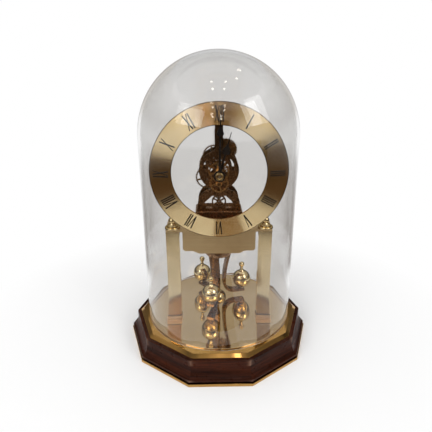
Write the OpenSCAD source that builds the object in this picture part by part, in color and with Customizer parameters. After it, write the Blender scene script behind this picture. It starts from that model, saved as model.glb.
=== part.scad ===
// Torsion pendulum clock under a glass dome.
// Millimetres, +Z up, origin on the table under the middle of the base, dial facing -Y.

/* [Base] */
// Corner radius of the ten-sided brass foot
foot_r = 97; // [90:0.5:110]
// Height of the brass foot
foot_h = 3; // [2:0.1:6]
// Width of the foot ring at the middle of a side
foot_w = 12.25; // [8:0.05:20]
// Thickness of the bottom board
board_t = 2; // [1:0.1:2.5]
// Corner radius of the wooden moulding at its widest
wood_r = 96; // [88:0.5:108]
// Corner radius of the wooden lip at the top
wood_lip_r = 89.8; // [86.5:0.1:95]
// Height of the wooden moulding
wood_h = 20.8; // [16:0.1:40]
// Height of the upright lip
wood_lip_h = 5.6; // [3:0.1:8]
// Height of the straight band below the cove
wood_band_h = 2.4; // [1:0.1:5]
// Depth of the shadow groove above the foot
wood_groove = 3; // [1:0.1:5]
// Height of the shadow groove above the foot
wood_groove_h = 1.4; // [0.8:0.1:3]
// Inner radius of the hollow wooden base
wood_bore_r = 72; // [60:0.5:78]
// Corner radius of the brass top plate at its lower edge
plate_edge_r = 86; // [84:0.1:88]
// Corner radius of the brass top plate at its upper edge
plate_r = 82.6; // [80:0.1:83.5]
// Thickness of the brass top plate
plate_h = 3.2; // [2:0.1:6]
// Radius of the mirror-polished floor disc
floor_r = 71.5; // [66:0.1:72.5]
// Thickness of the floor disc
floor_t = 0.8; // [0.5:0.1:2]

/* [Dome] */
// Outer radius of the glass
dome_r = 76; // [75:0.1:79]
// Thickness of the glass
dome_wall = 2.5; // [1.5:0.1:3]
// Height of the straight wall below the round crown
dome_straight = 190.2; // [180:0.5:240]

/* [Pillars] */
// Distance of each pillar from the middle
pillar_x = 45.8; // [44:0.1:49]
// Middle of the pillars, front to back
pillar_y = -17; // [-20:0.1:-14]
// Width of a pillar
pillar_w = 13.3; // [8:0.1:15]
// Depth of a pillar
pillar_d = 6; // [4:0.1:10]
// Top of the pillars above the brass plate
pillar_top = 99; // [90:0.5:102]
// Width that the plinth adds to the pillar
plinth_extra = 1.6; // [1:0.1:3]
// Height of the plinth
plinth_h = 5.5; // [3:0.1:10]
// Radius of the screw that holds a pillar
pillar_screw_r = 1.5; // [1:0.1:2.5]
// Radius of the finial's widest disc
finial_r = 7.4; // [5:0.1:8.5]
// Radius of the finial's ball
finial_ball_r = 3.4; // [2:0.1:5]
// Thickness of the platform
platform_t = 3; // [2:0.1:5]
// Back edge of the platform
platform_back = 11; // [9:0.1:14]
// Half width of the apron plate
apron_half_w = 36; // [30:0.1:38]
// Lower edge of the apron at its sides, above the brass plate
apron_side_z = 79; // [72:0.1:85]
// Depth of the middle lobe below that edge
apron_lobe = 2.9; // [1:0.1:6]
// Half width of the middle lobe
apron_lobe_half_w = 19; // [12:0.1:24]
// Radius of the apron's lower corners
apron_corner_r = 3; // [1:0.1:6]
// Thickness of the apron plate
apron_t = 1.2; // [0.8:0.1:2]

/* [Dial] */
// Height of the dial's middle above the brass plate
dial_z = 159.4; // [156:0.1:164]
// Outer radius of the dial
dial_r = 64.2; // [58:0.1:66]
// Radius of the opening in the dial
dial_hole_r = 43.9; // [38:0.1:46]
// Front of the dial's outer edge
dial_y = -23.9; // [-26:0.1:-23.5]
// How far the inner edge stands forward of the outer edge
dial_rise = 3.5; // [1:0.1:5]
// Thickness of the dial
dial_t = 1.2; // [0.8:0.1:2]
// Inner radius of the numerals
numeral_in_r = 46.8; // [46.5:0.1:50]
// Height of the numerals
numeral_h = 14; // [8:0.1:14.5]
// Width of a heavy stroke
stroke_w = 1.2; // [0.8:0.1:1.4]
// Width of a fine stroke
hair_w = 0.7; // [0.4:0.1:1]
// Pitch of the upright strokes
glyph_step = 1.9; // [1.6:0.1:2.4]
// Thickness of the numerals
numeral_t = 0.25; // [0.1:0.05:0.5]
// Radius of the feet that hold the dial
dial_foot_r = 2; // [1.2:0.1:3]

/* [Hands] */
// Length of the minute hand
minute_len = 58; // [50:0.5:60]
// Distance of the minute hand's spade from the middle
minute_spade = 38; // [30:0.5:42]
// Length of the hour hand
hour_len = 40.5; // [36:0.5:48]
// Distance of the hour hand's spade from the middle
hour_spade = 22; // [20:0.5:32]
// Thickness of a hand
hand_t = 0.8; // [0.5:0.1:1.2]
// Width of a hand's shaft at the hub
hand_w = 2.4; // [1.5:0.1:3]
// Resting place of the minute hand, degrees past XII
minute_at = 1; // [0:1:359]
// Resting place of the hour hand, degrees past XII
hour_at = 15; // [0:1:359]
// Radius of the hand nut
nut_r = 3.7; // [2.6:0.1:4.5]
// Thickness of the hand nut
nut_t = 2.4; // [1.5:0.1:4]

/* [Movement] */
// Front face of the front plate
front_y = -14; // [-15:0.1:-13]
// Thickness of each plate
movement_t = 2; // [1.5:0.1:2.5]
// Room between the plates
train_gap = 16; // [15.8:0.1:17]
// Radius of the round body of the plates
body_r = 19; // [18:0.1:21]
// Half width of the waist below the body
waist_half_w = 7.5; // [6:0.1:9]
// Height of the waist below the dial's middle
waist_drop = 18.4; // [17.5:0.1:19]
// Half width of the legs at the bottom
leg_half_w = 21.5; // [18:0.1:23]
// Width of the neck that carries the dial
neck_w = 7.6; // [6:0.1:10]
// Height of the block under the plates
block_h = 16.5; // [12:0.1:18]
// Half width of that block
block_half_w = 23; // [22:0.1:28]
// How far the block stands past the plates, front and back
block_lip = 2; // [0:0.1:3]
// Radius of a post between the plates
post_r = 2; // [1.2:0.1:2.4]
// Running clearance round every turning shaft
running = 0.05; // [0.02:0.01:0.1]

/* [Gears] */
// Module of the going train
train_module = 0.5; // [0.48:0.01:0.5]
// Teeth of the great wheel on the barrel
great_n = 42; // [40:1:42]
// Teeth of each train pinion
pinion_n = 10; // [10:1:11]
// Teeth of the intermediate wheel
inter_n = 42; // [42:1:44]
// Teeth of the centre wheel
centre_n = 46; // [44:1:46]
// Teeth of the third wheel
third_n = 44; // [42:1:44]
// Teeth of the cannon pinion
cannon_n = 12; // [12:1:12]
// Teeth of the minute wheel
minute_n = 36; // [36:1:36]
// Teeth of the minute pinion
minute_pinion_n = 10; // [10:1:10]
// Teeth of the hour wheel
hour_n = 40; // [40:1:40]
// Teeth of the escape wheel
escape_n = 20; // [16:1:24]
// Tip radius of the escape wheel
escape_r = 8.5; // [7:0.1:9]
// Teeth of the ratchet wheel
ratchet_n = 18; // [14:1:24]
// Tip radius of the ratchet wheel
ratchet_r = 6.5; // [5:0.1:7]
// Thickness of a wheel
wheel_t = 1.2; // [0.8:0.1:1.4]
// Radius of a train arbor
arbor_r = 1.2; // [0.9:0.1:1.2]
// Radius of the winding arbor
winding_r = 1.6; // [1.3:0.1:2]
// Tooth thinning, the play between teeth
backlash = 0.14; // [0.1:0.01:0.2]

/* [Pendulum] */
// Axis of the pendulum behind the middle
pend_y = 20; // [18:0.1:24]
// Radius of the ring of balls
ball_ring_r = 27.6; // [25:0.1:32]
// Radius of a ball
ball_r = 10.2; // [8:0.1:11]
// Height of the balls' middles above the brass plate
ball_z = 21.5; // [20.5:0.1:24]
// Resting angle of the first ball, from +X towards +Y
ball_at = 12.3; // [0:0.1:119]
// Radius of the small ball on each finial
ball_tip_r = 3.1; // [1.5:0.1:3.5]
// Height of the finial above its ball
ball_tip_h = 10.6; // [6:0.1:12]
// Width of an arm
arm_w = 8; // [5:0.1:9]
// Thickness of an arm
arm_t = 2.8; // [1.6:0.1:3.2]
// Radius of the arms' waist
arm_waist_r = 6.6; // [6:0.1:9]
// Radius of the bend under the ball
arm_bend_r = 12; // [9:0.1:13]
// Height of the arm's foot above the brass plate
arm_foot_z = 8; // [6:0.1:8.5]
// Radius of the crown disc
crown_r = 14; // [12:0.1:18]
// Underside of the crown above the brass plate
crown_z = 57; // [50:0.1:60]
// Thickness of the crown
crown_t = 2.6; // [1.5:0.1:4]
// Radius of the guide cup on the floor
cup_r = 9; // [6:0.1:9.5]
// Height of the guide cup
cup_h = 8; // [5:0.1:8.5]
// Radius of the guide rod
rod_r = 1.2; // [0.8:0.1:1.8]
// Width of the suspension strip
strip_w = 1.2; // [0.8:0.1:2]
// Thickness of the suspension strip
strip_t = 0.3; // [0.2:0.05:0.5]
// Lower end of the top block, above the dial's middle
top_block_z = 24; // [20:0.1:30]
// Middle of the fork, above the dial's middle
fork_z = 4; // [2:0.1:6]

/* [Hidden] */

$fn = 64;
round_fn = 128;
eps = 0.01;
over = 1;
sides = 10;
pillar_screw_in = 8;

foot_bore_r = foot_r * cos(180 / sides) - foot_w;
wood_z = foot_h;
plate_z = wood_z + wood_h;
top_z = plate_z + plate_h;
floor_z = top_z + floor_t;

// Places of the movement, seen from the front as [x, z]
centre = [0, top_z + dial_z];
train_back = front_y + movement_t;
back_y = train_back + train_gap;
rear_y = back_y + movement_t;
platform_z = top_z + pillar_top;
block_z = platform_z + platform_t;
leg_z = block_z + block_h;
waist_z = centre[1] - waist_drop;
bell_steps = 12;
bell_round = 0.62;
bell_flare = 2;
bell_lap = 4;
neck_top = centre[1] + (dial_r + dial_hole_r) / 2 + neck_w / 2;

glyph_space = 0.8;
glyphs = ["I", "II", "III", "IIII", "V", "VI", "VII", "VIII", "IX", "X", "XI", "XII"];

pressure = 25;
addendum = 0.8;
dedendum = 1.1;
motion_gap = train_module * (cannon_n + minute_n) / 2;
hour_module = 2 * motion_gap / (minute_pinion_n + hour_n);
function polar(r, a) = r * [cos(a), sin(a)];
function gear_gap(n1, n2) = train_module * (n1 + n2) / 2;
function mesh_turn(dir, turn, n1, n2) = dir + 180 - (0.5 - (dir - turn) * n1 / 360) * 360 / n2;

inter_dir = 112;
great_dir = 25;
third_dir = 217;
inter_at = centre + polar(gear_gap(inter_n, pinion_n), inter_dir);
great_at = inter_at + polar(gear_gap(great_n, pinion_n), great_dir);
third_at = centre + polar(gear_gap(centre_n, pinion_n), third_dir);
escape_gap = gear_gap(third_n, pinion_n);
escape_drop = sqrt(escape_gap * escape_gap - pow(centre[0] - third_at[0], 2));
escape_at = [centre[0], third_at[1] - escape_drop];
escape_dir = atan2(escape_at[1] - third_at[1], escape_at[0] - third_at[0]);
anchor_drop = 15;
anchor_at = escape_at - [0, anchor_drop];
window_top = anchor_at[1] + 5.8;
minute_at_pos = centre - [0, motion_gap];

// Turn of each follower that puts its teeth into the gaps of its driver
inter_turn = mesh_turn(inter_dir, 0, pinion_n, inter_n);
great_turn = mesh_turn(great_dir, 0, pinion_n, great_n);
third_pinion_turn = mesh_turn(third_dir, 0, centre_n, pinion_n);
escape_pinion_turn = mesh_turn(escape_dir, 0, third_n, pinion_n);
minute_turn = mesh_turn(-90, 0, cannon_n, minute_n);
hour_turn = mesh_turn(90, 0, minute_pinion_n, hour_n);

// Layers of the train from front to back
centre_wheel_in = 1.2;
third_wheel_in = 4.6;
inter_wheel_in = 7.4;
great_wheel_in = 9.2;
escape_wheel_in = 12.8;
centre_wheel_y = train_back + centre_wheel_in;
third_wheel_y = train_back + third_wheel_in;
inter_wheel_y = train_back + inter_wheel_in;
great_wheel_y = train_back + great_wheel_in;
escape_wheel_y = train_back + escape_wheel_in;
great_wheel_t = 2;
drum_t = 4.2;
drum_r = 9;
anchor_t = 2;
pinion_over = 0.5;
wheel_spoke_w = 1.5;
wheel_spoke_at = 15;
shoulder_gap = 0.2;
pivot_r = 0.7;
pivot_out = 0.4;

// Winding work behind the back plate
square_len = 6;
ratchet_out = 0.3;
click_out = 3.4;
click_clear = 0.35;
ratchet_y = rear_y + ratchet_out;
click_dir = 205;
click_gap = ratchet_r + click_out;
click_at = great_at + polar(click_gap, click_dir);

// Layers of the motion work and hands, forward of the front plate
cannon_out = 1.2;
minute_wheel_out = 1.7;
hour_wheel_out = 4.2;
hour_hand_out = 18.4;
cannon_y = front_y - cannon_out;
cannon_t = 2.1;
minute_wheel_y = front_y - minute_wheel_out;
hour_wheel_y = front_y - hour_wheel_out;
minute_pinion_t = minute_wheel_y - hour_wheel_y + wheel_t + shoulder_gap;
stud_r = 0.9;
stud_rim = 0.7;
stud_head_r = stud_r + stud_rim;
stud_head_t = 0.6;
pipe_wall = 0.6;
hour_pipe_wall = 0.85;
cannon_pipe_r = arbor_r + pipe_wall;
hour_bore_r = cannon_pipe_r + running;
hour_pipe_r = hour_bore_r + hour_pipe_wall;
hour_hand_y = front_y - hour_hand_out;
hand_gap = 1.6;
minute_hand_y = hour_hand_y - hand_t - hand_gap;
nut_y = minute_hand_y - hand_t;
thread_out = 1.2;

// Posts between the plates, with a tenon at each end
tenon_r = 0.6 * post_r;
tenon_out = 0.8;
post_places = [centre + polar(17.2, 165), centre + polar(16.8, -12),
    [-17.5, leg_z + 3.4], [17.5, leg_z + 3.4]];

// Suspension and pendulum
crutch_out = 3.5;
crutch_y = rear_y + crutch_out;
crutch_r = 0.7;
fork_h = 4;
fork_at = centre[1] + fork_z;
block_low = centre[1] + top_block_z;
block_tall = 6;
block_w = 4;
strip_gap = 0.1;
crown_low = top_z + crown_z;
nut_low = crown_low + crown_t;
regulating_h = 3.4;
regulating_r = 6;
collar_low = nut_low + regulating_h + 0.3;
collar_h = 5;
collar_r = 2.4;
ball_stud_r = 1.5;
arm_low = top_z + arm_foot_z;
arm_bend_x = arm_waist_r + arm_bend_r;
arm_bend_z = arm_low + arm_bend_r;
arm_rise = crown_low - arm_bend_z;
arm_spread = crown_r - arm_t / 2 - arm_waist_r;
arm_sweep_r = (arm_rise * arm_rise + arm_spread * arm_spread) / (2 * arm_spread);
arm_sweep = asin(arm_rise / arm_sweep_r);

// Stands a drawing that is seen from the front at depth y, growing thickness t towards the back
module front_slab(y, t) {
    translate([0, y + t, 0]) rotate([90, 0, 0]) linear_extrude(t) children();
}

// Round bar along Y from depth y0 back to depth y1
module rod_y(at, y0, y1, r) {
    translate([at[0], y1, at[1]]) rotate([90, 0, 0]) cylinder(r = r, h = y1 - y0);
}

// Hole along Y, cut past both depths
module bore_y(at, y0, y1, r) {
    rod_y(at, y0 - over, y1 + over, r);
}

module decagon(r, h) {
    cylinder(r = r, h = h, $fn = sides);
}

// Involute wheel outline with short teeth and play between them
module gear_outline(n, m) {
    rp = n * m / 2;
    rb = rp * cos(pressure);
    ra = rp + addendum * m;
    rf = rp - dedendum * m;
    low = max(rb, rf + 0.02);
    half = 90 / n - backlash / 2 / rp * 180 / PI;
    function inv(r) = let (a = acos(min(1, rb / r))) tan(a) * 180 / PI - a;
    function half_at(r) = half + inv(rp) - inv(r);
    flank = [[rf, half_at(low)], [low, half_at(low)], [(low + rp) / 2, half_at((low + rp) / 2)],
        [rp, half_at(rp)], [ra, half_at(ra)]];
    last = len(flank) - 1;
    polygon([for (i = [0 : n - 1]) each concat(
        [for (p = flank) polar(p[0], i * 360 / n - p[1])],
        [for (k = [last : -1 : 0]) polar(flank[k][0], i * 360 / n + flank[k][1])])]);
}

// Windows between a wheel's hub and rim
module crossings(hub, rim, count, spoke_w, turn = 0) {
    difference() {
        circle(r = rim);
        circle(r = hub);
        for (i = [0 : count - 1]) rotate(turn + i * 360 / count)
            translate([0, -spoke_w / 2]) square([rim + over, spoke_w]);
    }
}

module crossed_wheel(at, y, t, n, m, turn, bore, hub, rim_drop, count) {
    front_slab(y, t) translate(at) difference() {
        rotate(turn) gear_outline(n, m);
        crossings(hub, n * m / 2 - rim_drop, count, wheel_spoke_w, wheel_spoke_at);
        circle(r = bore);
    }
}

module pinion(at, y, t, n, m, turn) {
    front_slab(y, t) translate(at) rotate(turn) gear_outline(n, m);
}

// Arbor between the plates with a thinner pivot at each end
module train_arbor(at, shoulder = train_back + shoulder_gap) {
    rod_y(at, shoulder, back_y - shoulder_gap, arbor_r);
    rod_y(at, front_y - pivot_out, shoulder, pivot_r);
    rod_y(at, back_y - shoulder_gap, rear_y + pivot_out, pivot_r);
}

// Ring sector between two radii
module arc_slot(r0, r1, a0, a1) {
    steps = 12;
    polygon(concat(
        [for (i = [0 : steps]) polar(r0, a0 + (a1 - a0) * i / steps)],
        [for (i = [steps : -1 : 0]) polar(r1, a0 + (a1 - a0) * i / steps)]));
}

module base_foot() {
    color("darkgoldenrod") difference() {
        decagon(foot_r, foot_h);
        translate([0, 0, -eps]) cylinder(r = foot_bore_r, h = foot_h + 2 * eps, $fn = round_fn);
    }
}

module base_board() {
    color("saddlebrown") translate([0, 0, foot_h - board_t])
        cylinder(r = foot_bore_r, h = board_t, $fn = round_fn);
}

// Groove, straight band, hollow cove and upright lip, turned round ten sides
module base_wood() {
    cove_low = wood_groove_h + wood_band_h;
    cove_high = wood_h - wood_lip_h;
    cove_w = wood_r - wood_lip_r;
    steps = 8;
    cove = [for (i = [0 : steps]) let (a = i * 90 / steps)
        [wood_r - cove_w * sin(a), cove_low + (cove_high - cove_low) * (1 - cos(a))]];
    color("#3a1a14") difference() {
        translate([0, 0, wood_z]) rotate_extrude($fn = sides) polygon(concat(
            [[0, 0], [wood_r - wood_groove, 0]],
            [[wood_r - wood_groove, wood_groove_h], [wood_r, wood_groove_h]],
            cove, [[wood_lip_r, wood_h], [0, wood_h]]));
        translate([0, 0, wood_z - eps]) cylinder(r = wood_bore_r, h = wood_h + 2 * eps, $fn = round_fn);
    }
}

module base_plate() {
    edge_h = 0.5;
    color("goldenrod") difference() {
        translate([0, 0, plate_z]) rotate_extrude($fn = sides)
            polygon([[0, 0], [plate_edge_r, 0], [plate_edge_r, edge_h], [plate_r, plate_h], [0, plate_h]]);
        for (s = [-1, 1]) translate([s * pillar_x, pillar_y, plate_z - eps])
            cylinder(r = pillar_screw_r, h = plate_h + 2 * eps);
    }
}

module floor_disc() {
    color("gold") difference() {
        translate([0, 0, top_z]) cylinder(r = floor_r, h = floor_t, $fn = round_fn);
        for (s = [-1, 1]) translate([s * pillar_x, pillar_y, top_z - eps])
            cylinder(r = pillar_screw_r, h = floor_t + 2 * eps);
    }
}

// Rounded cup with a hole that keeps the pendulum's rod in place
module guide_cup() {
    steps = 10;
    cap = 78;
    hole_r = rod_r + 0.5;
    side = [for (i = [0 : steps]) let (a = cap * i / steps) [cup_r * cos(a), cup_h * sin(a) / sin(cap)]];
    color("darkgoldenrod") translate([0, pend_y, floor_z]) rotate_extrude()
        polygon(concat([[hole_r, 0]], side, [[hole_r, cup_h]]));
}

module plinth(s) {
    w = pillar_w + plinth_extra;
    d = pillar_d + plinth_extra;
    low_h = 0.6 * plinth_h;
    step = 0.4;
    color("goldenrod") translate([s * pillar_x, pillar_y, floor_z]) difference() {
        union() {
            translate([-w / 2, -d / 2, 0]) cube([w, d, low_h]);
            translate([-w / 2 + step, -d / 2 + step, low_h])
                cube([w - 2 * step, d - 2 * step, plinth_h - low_h]);
        }
        translate([0, 0, -eps]) cylinder(r = pillar_screw_r, h = plinth_h + 2 * eps);
    }
}

module pillar(s) {
    low = floor_z + plinth_h;
    color("#c8b27a") difference() {
        translate([s * pillar_x - pillar_w / 2, pillar_y - pillar_d / 2, low])
            cube([pillar_w, pillar_d, platform_z - low]);
        for (z = [low - eps, platform_z - pillar_screw_in]) translate([s * pillar_x, pillar_y, z])
            cylinder(r = pillar_screw_r, h = pillar_screw_in + eps);
    }
}

// Screws from under the brass plate up into the pillars
module pillar_screws() {
    head_h = 1.8;
    color("dimgray") for (s = [-1, 1]) translate([s * pillar_x, pillar_y, 0]) {
        translate([0, 0, plate_z - head_h]) cylinder(r = 2 * pillar_screw_r, h = head_h);
        translate([0, 0, plate_z])
            cylinder(r = pillar_screw_r, h = floor_z + plinth_h + pillar_screw_in - plate_z);
    }
}

module platform() {
    half_w = pillar_x + pillar_w / 2;
    front = pillar_y - pillar_d / 2;
    color("#b89a58") difference() {
        translate([-half_w, front, platform_z]) cube([2 * half_w, platform_back - front, platform_t]);
        for (s = [-1, 1]) translate([s * pillar_x, pillar_y, platform_z - eps])
            cylinder(r = pillar_screw_r, h = platform_t + 2 * eps);
    }
}

// Satin plate with rounded lower corners and a shallow lobe in the middle
module apron_plate() {
    steps = 8;
    lobe_run = 8;
    low = top_z + apron_side_z;
    high = platform_z + platform_t;
    corner = [for (i = [0 : steps]) let (a = 180 + 90 * i / steps)
        [-apron_half_w + apron_corner_r, low + apron_corner_r] + polar(apron_corner_r, a)];
    lobe = [for (i = [0 : steps]) let (u = i / steps)
        [-apron_lobe_half_w - lobe_run * (1 - u), low - apron_lobe * (1 - cos(180 * u)) / 2]];
    left = concat([[-apron_half_w, high]], corner, lobe);
    right = [for (i = [len(left) - 1 : -1 : 0]) [-left[i][0], left[i][1]]];
    color("#a48c5c") front_slab(pillar_y - pillar_d / 2 - apron_t, apron_t)
        polygon(concat(left, right));
}

// Turned finial: stepped discs, neck and ball, with a thread down into the pillar
module finial(s) {
    disc_h = 2.2;
    step_h = 1.6;
    neck_h = 2.2;
    step_r = 0.72 * finial_r;
    neck_r = 0.5 * finial_r;
    ball_neck_r = 0.6 * finial_ball_r;
    ball_up = disc_h + step_h + neck_h + 0.7 * finial_ball_r;
    thread = platform_t + pillar_screw_in - 1;
    color("darkgoldenrod") translate([s * pillar_x, pillar_y, platform_z + platform_t]) {
        cylinder(r = finial_r, h = disc_h);
        translate([0, 0, disc_h]) cylinder(r = step_r, h = step_h);
        translate([0, 0, disc_h + step_h]) cylinder(r1 = neck_r, r2 = ball_neck_r, h = neck_h);
        translate([0, 0, ball_up]) sphere(r = finial_ball_r);
        translate([0, 0, -thread]) cylinder(r = pillar_screw_r, h = thread);
    }
}

module movement_base() {
    depth = rear_y - front_y + 2 * block_lip;
    color("#4a281c") translate([-block_half_w, front_y - block_lip, block_z])
        cube([2 * block_half_w, depth, block_h]);
}

// Bell-shaped legs below the waist, half outline from inside the body down to the feet
function bell_x(u) = let (v = min(1, u / bell_round)) waist_half_w + bell_flare * u * u
    + (leg_half_w - waist_half_w - bell_flare) * sqrt(1 - (1 - v) * (1 - v));
function bell_half() = concat([[waist_half_w, waist_z + bell_lap]],
    [for (i = [0 : bell_steps]) let (u = i / bell_steps) [bell_x(u), waist_z - u * (waist_z - leg_z)]]);

// Windows and post holes that the front and back plates share
module plate_windows() {
    hub_r = 5.6;
    eye_r = 10.4;
    slot_in = 13;
    slot_out = 15.4;
    translate(centre) crossings(hub_r, eye_r, count = 4, spoke_w = 2.6, turn = 45);
    translate(centre) arc_slot(slot_in, slot_out, 142, 176);
    translate(centre) arc_slot(slot_in, slot_out, -3, 48);
    for (p = post_places) translate(p) circle(r = tenon_r);
}

// Window between the legs from height low up to the waist
module leg_window(low) {
    low_half = leg_half_w - 6.6;
    high_half = waist_half_w - 0.8;
    polygon([[-low_half, low], [-high_half, window_top], [high_half, window_top], [low_half, low]]);
}

// Round body with a boss for the barrel, a neck up to height top and bell-shaped legs;
// the children are cut out between the legs
module movement_plate(y, top) {
    boss_r = 4.6;
    half = bell_half();
    difference() {
        union() {
            front_slab(y, movement_t) {
                translate(centre) circle(r = body_r);
                translate(great_at) circle(r = boss_r);
                translate([-neck_w / 2, centre[1]]) square([neck_w, top - centre[1]]);
            }
            front_slab(y, movement_t)
                polygon(concat(half, [for (i = [len(half) - 1 : -1 : 0]) [-half[i][0], half[i][1]]]));
        }
        front_slab(y - over, movement_t + 2 * over) {
            plate_windows();
            children();
        }
    }
}

// Ring with spokes round the anchor's pivot, a foot bar below it and a slot in each leg
module front_plate() {
    bar_top = anchor_at[1] - 1.9;
    ring_r = 7;
    ring_w = 1.4;
    ring_hub_r = 2.4;
    ring_spoke_w = 1.1;
    foot_slot = [6, 2];
    slot_x = 9.6;
    slot_z = (leg_z + bar_top) / 2;
    color("#3c2a1e") difference() {
        movement_plate(front_y, neck_top) {
            difference() {
                leg_window(bar_top);
                translate(anchor_at) circle(r = ring_r);
            }
            translate(anchor_at)
                crossings(ring_hub_r, ring_r - ring_w, count = 6, spoke_w = ring_spoke_w, turn = 30);
            for (s = [-1, 1]) translate([s * slot_x, slot_z]) square(foot_slot, center = true);
        }
        for (p = [inter_at, third_at, escape_at, anchor_at])
            bore_y(p, front_y, train_back, pivot_r + running);
        bore_y(centre, front_y, train_back, arbor_r + running);
        bore_y(great_at, front_y, train_back, winding_r + running);
        bore_y(minute_at_pos, front_y, train_back, stud_r);
    }
}

// Tongue from the waist down to the anchor's pivot, open below it
module back_plate() {
    foot_bar = 1.4;
    tongue_w = 5;
    tongue_r = 3.2;
    color("#3c2a1e") difference() {
        movement_plate(back_y, block_low + block_tall + 3) difference() {
            leg_window(leg_z + foot_bar);
            translate(anchor_at) circle(r = tongue_r);
            translate(anchor_at - [tongue_w / 2, 0]) square([tongue_w, window_top - anchor_at[1] + over]);
        }
        for (p = [inter_at, third_at, escape_at, centre]) bore_y(p, back_y, rear_y, pivot_r + running);
        bore_y(anchor_at, back_y, rear_y, arbor_r + running);
        bore_y(great_at, back_y, rear_y, winding_r + running);
        bore_y(click_at, back_y, rear_y, stud_r);
    }
}

// Posts with a tenon at each end that goes through the plates
module movement_posts() {
    color("#8a6a3a") for (p = post_places) {
        rod_y(p, train_back, back_y, post_r);
        rod_y(p, front_y - tenon_out, train_back, tenon_r);
        rod_y(p, back_y, rear_y + tenon_out, tenon_r);
    }
}

module minute_stud() {
    end = minute_wheel_y - minute_pinion_t - shoulder_gap;
    color("#8a6a3a") {
        rod_y(minute_at_pos, end, train_back, stud_r);
        rod_y(minute_at_pos, end - stud_head_t, end, stud_head_r);
    }
}

// Depth of the dial's front face at radius r
function dial_front(r) = dial_y - dial_rise * (dial_r - r) / (dial_r - dial_hole_r);

// Revolves a drawing of radius against depth about the dial's axis
module dial_turn() {
    translate([centre[0], 0, centre[1]]) rotate([90, 0, 0]) rotate_extrude($fn = round_fn) children();
}

module dial_ring() {
    color("#d9c27e") dial_turn() polygon([
        [dial_hole_r, -dial_front(dial_hole_r)], [dial_r, -dial_front(dial_r)],
        [dial_r, -dial_front(dial_r) - dial_t], [dial_hole_r, -dial_front(dial_hole_r) - dial_t]]);
}

// One stroke of a numeral from [x, y] to [x, y], across width w
module stroke(a, b, w) {
    dir = b - a;
    translate(a) rotate(atan2(dir[1], dir[0])) translate([0, -w / 2]) square([norm(dir), w]);
}

function glyph_w(c) = c == "I" ? glyph_step : 2.6 * glyph_step;
function word_w(word, to) = to <= 0 ? 0 : glyph_w(word[to - 1]) + word_w(word, to - 1);

module glyph(c) {
    w = glyph_w(c) - glyph_space;
    if (c == "I") stroke([0, 0], [0, numeral_h], stroke_w);
    if (c == "V") {
        stroke([-w / 2 + stroke_w / 2, numeral_h], [0, 0], stroke_w);
        stroke([w / 2, numeral_h], [0, 0], hair_w);
    }
    if (c == "X") {
        stroke([-w / 2 + stroke_w / 2, numeral_h], [w / 2 - stroke_w / 2, 0], stroke_w);
        stroke([w / 2, numeral_h], [-w / 2, 0], hair_w);
    }
}

module numeral(word) {
    for (i = [0 : len(word) - 1])
        translate([word_w(word, i) + glyph_w(word[i]) / 2 - word_w(word, len(word)) / 2, 0]) glyph(word[i]);
}

module dial_numerals() {
    r1 = numeral_in_r - over;
    r2 = dial_r - 0.2;
    color("black") intersection() {
        front_slab(dial_y - dial_rise - over, dial_rise + 2 * over) translate(centre) for (i = [0 : 11])
            rotate(-30 * (i + 1)) translate([0, numeral_in_r]) numeral(glyphs[i]);
        dial_turn() polygon([[r1, -dial_front(r1)], [r2, -dial_front(r2)],
            [r2, -dial_front(r2) + numeral_t], [r1, -dial_front(r1) + numeral_t]]);
    }
}

// Feet from the neck and from the block to the back of the dial
module dial_feet() {
    mid = (dial_r + dial_hole_r) / 2;
    side_x = 12;
    low = centre - [0, sqrt(mid * mid - side_x * side_x)];
    r1 = mid - 2 * dial_foot_r;
    r2 = mid + 2 * dial_foot_r;
    tip = dial_front(dial_hole_r);
    color("#8a6a3a") difference() {
        union() {
            rod_y(centre + [0, mid], tip, front_y, dial_foot_r);
            for (s = [-1, 1]) rod_y(low + [s * side_x, 0], tip, front_y - block_lip, dial_foot_r);
        }
        dial_turn() polygon([[r1, -dial_front(r1) - dial_t], [r2, -dial_front(r2) - dial_t],
            [r2, -tip + over], [r1, -tip + over]]);
    }
}

module great_wheel() {
    color("#9a7434") crossed_wheel(great_at, great_wheel_y, great_wheel_t, great_n, train_module,
        great_turn, winding_r + running, hub = 4, rim_drop = 1.5, count = 5);
}

module barrel_drum() {
    y0 = great_wheel_y + great_wheel_t;
    color("#a9803c") difference() {
        rod_y(great_at, y0, y0 + drum_t, drum_r);
        bore_y(great_at, y0, y0 + drum_t, winding_r + running);
    }
}

// Winding arbor with a square at the back for the key
module barrel_arbor() {
    side = 1.4 * winding_r;
    color("silver") {
        rod_y(great_at, front_y - pivot_out, ratchet_y + wheel_t, winding_r);
        translate([great_at[0] - side / 2, ratchet_y + wheel_t, great_at[1] - side / 2])
            cube([side, square_len, side]);
    }
}

// Saw teeth: one slow flank and one radial flank each
module saw_outline(n, tip, depth, lean) {
    polygon([for (i = [0 : n - 1]) each [polar(tip - depth, i * 360 / n + 0.5),
        polar(tip - 0.15, i * 360 / n + lean), polar(tip, i * 360 / n + lean + 2)]]);
}

module ratchet_wheel() {
    color("silver") front_slab(ratchet_y, wheel_t) translate(great_at) difference() {
        saw_outline(ratchet_n, ratchet_r, depth = 1, lean = 14);
        circle(r = winding_r);
    }
}

// Pawl on the back plate, its tip resting just clear of the ratchet's teeth
module click() {
    reach = ratchet_r + click_clear;
    pivot = [click_gap, 0];
    tip = polar(reach, 40);
    color("silver") {
        rod_y(click_at, back_y, ratchet_y + wheel_t + 0.6, stud_r - running);
        front_slab(ratchet_y, wheel_t) translate(great_at) rotate(click_dir) difference() {
            union() {
                translate(pivot) circle(r = 1.9);
                polygon([pivot + polar(1.8, 28), tip + polar(1.5, 40), tip, pivot + polar(1.8, 198)]);
            }
            circle(r = reach);
        }
    }
}

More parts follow.
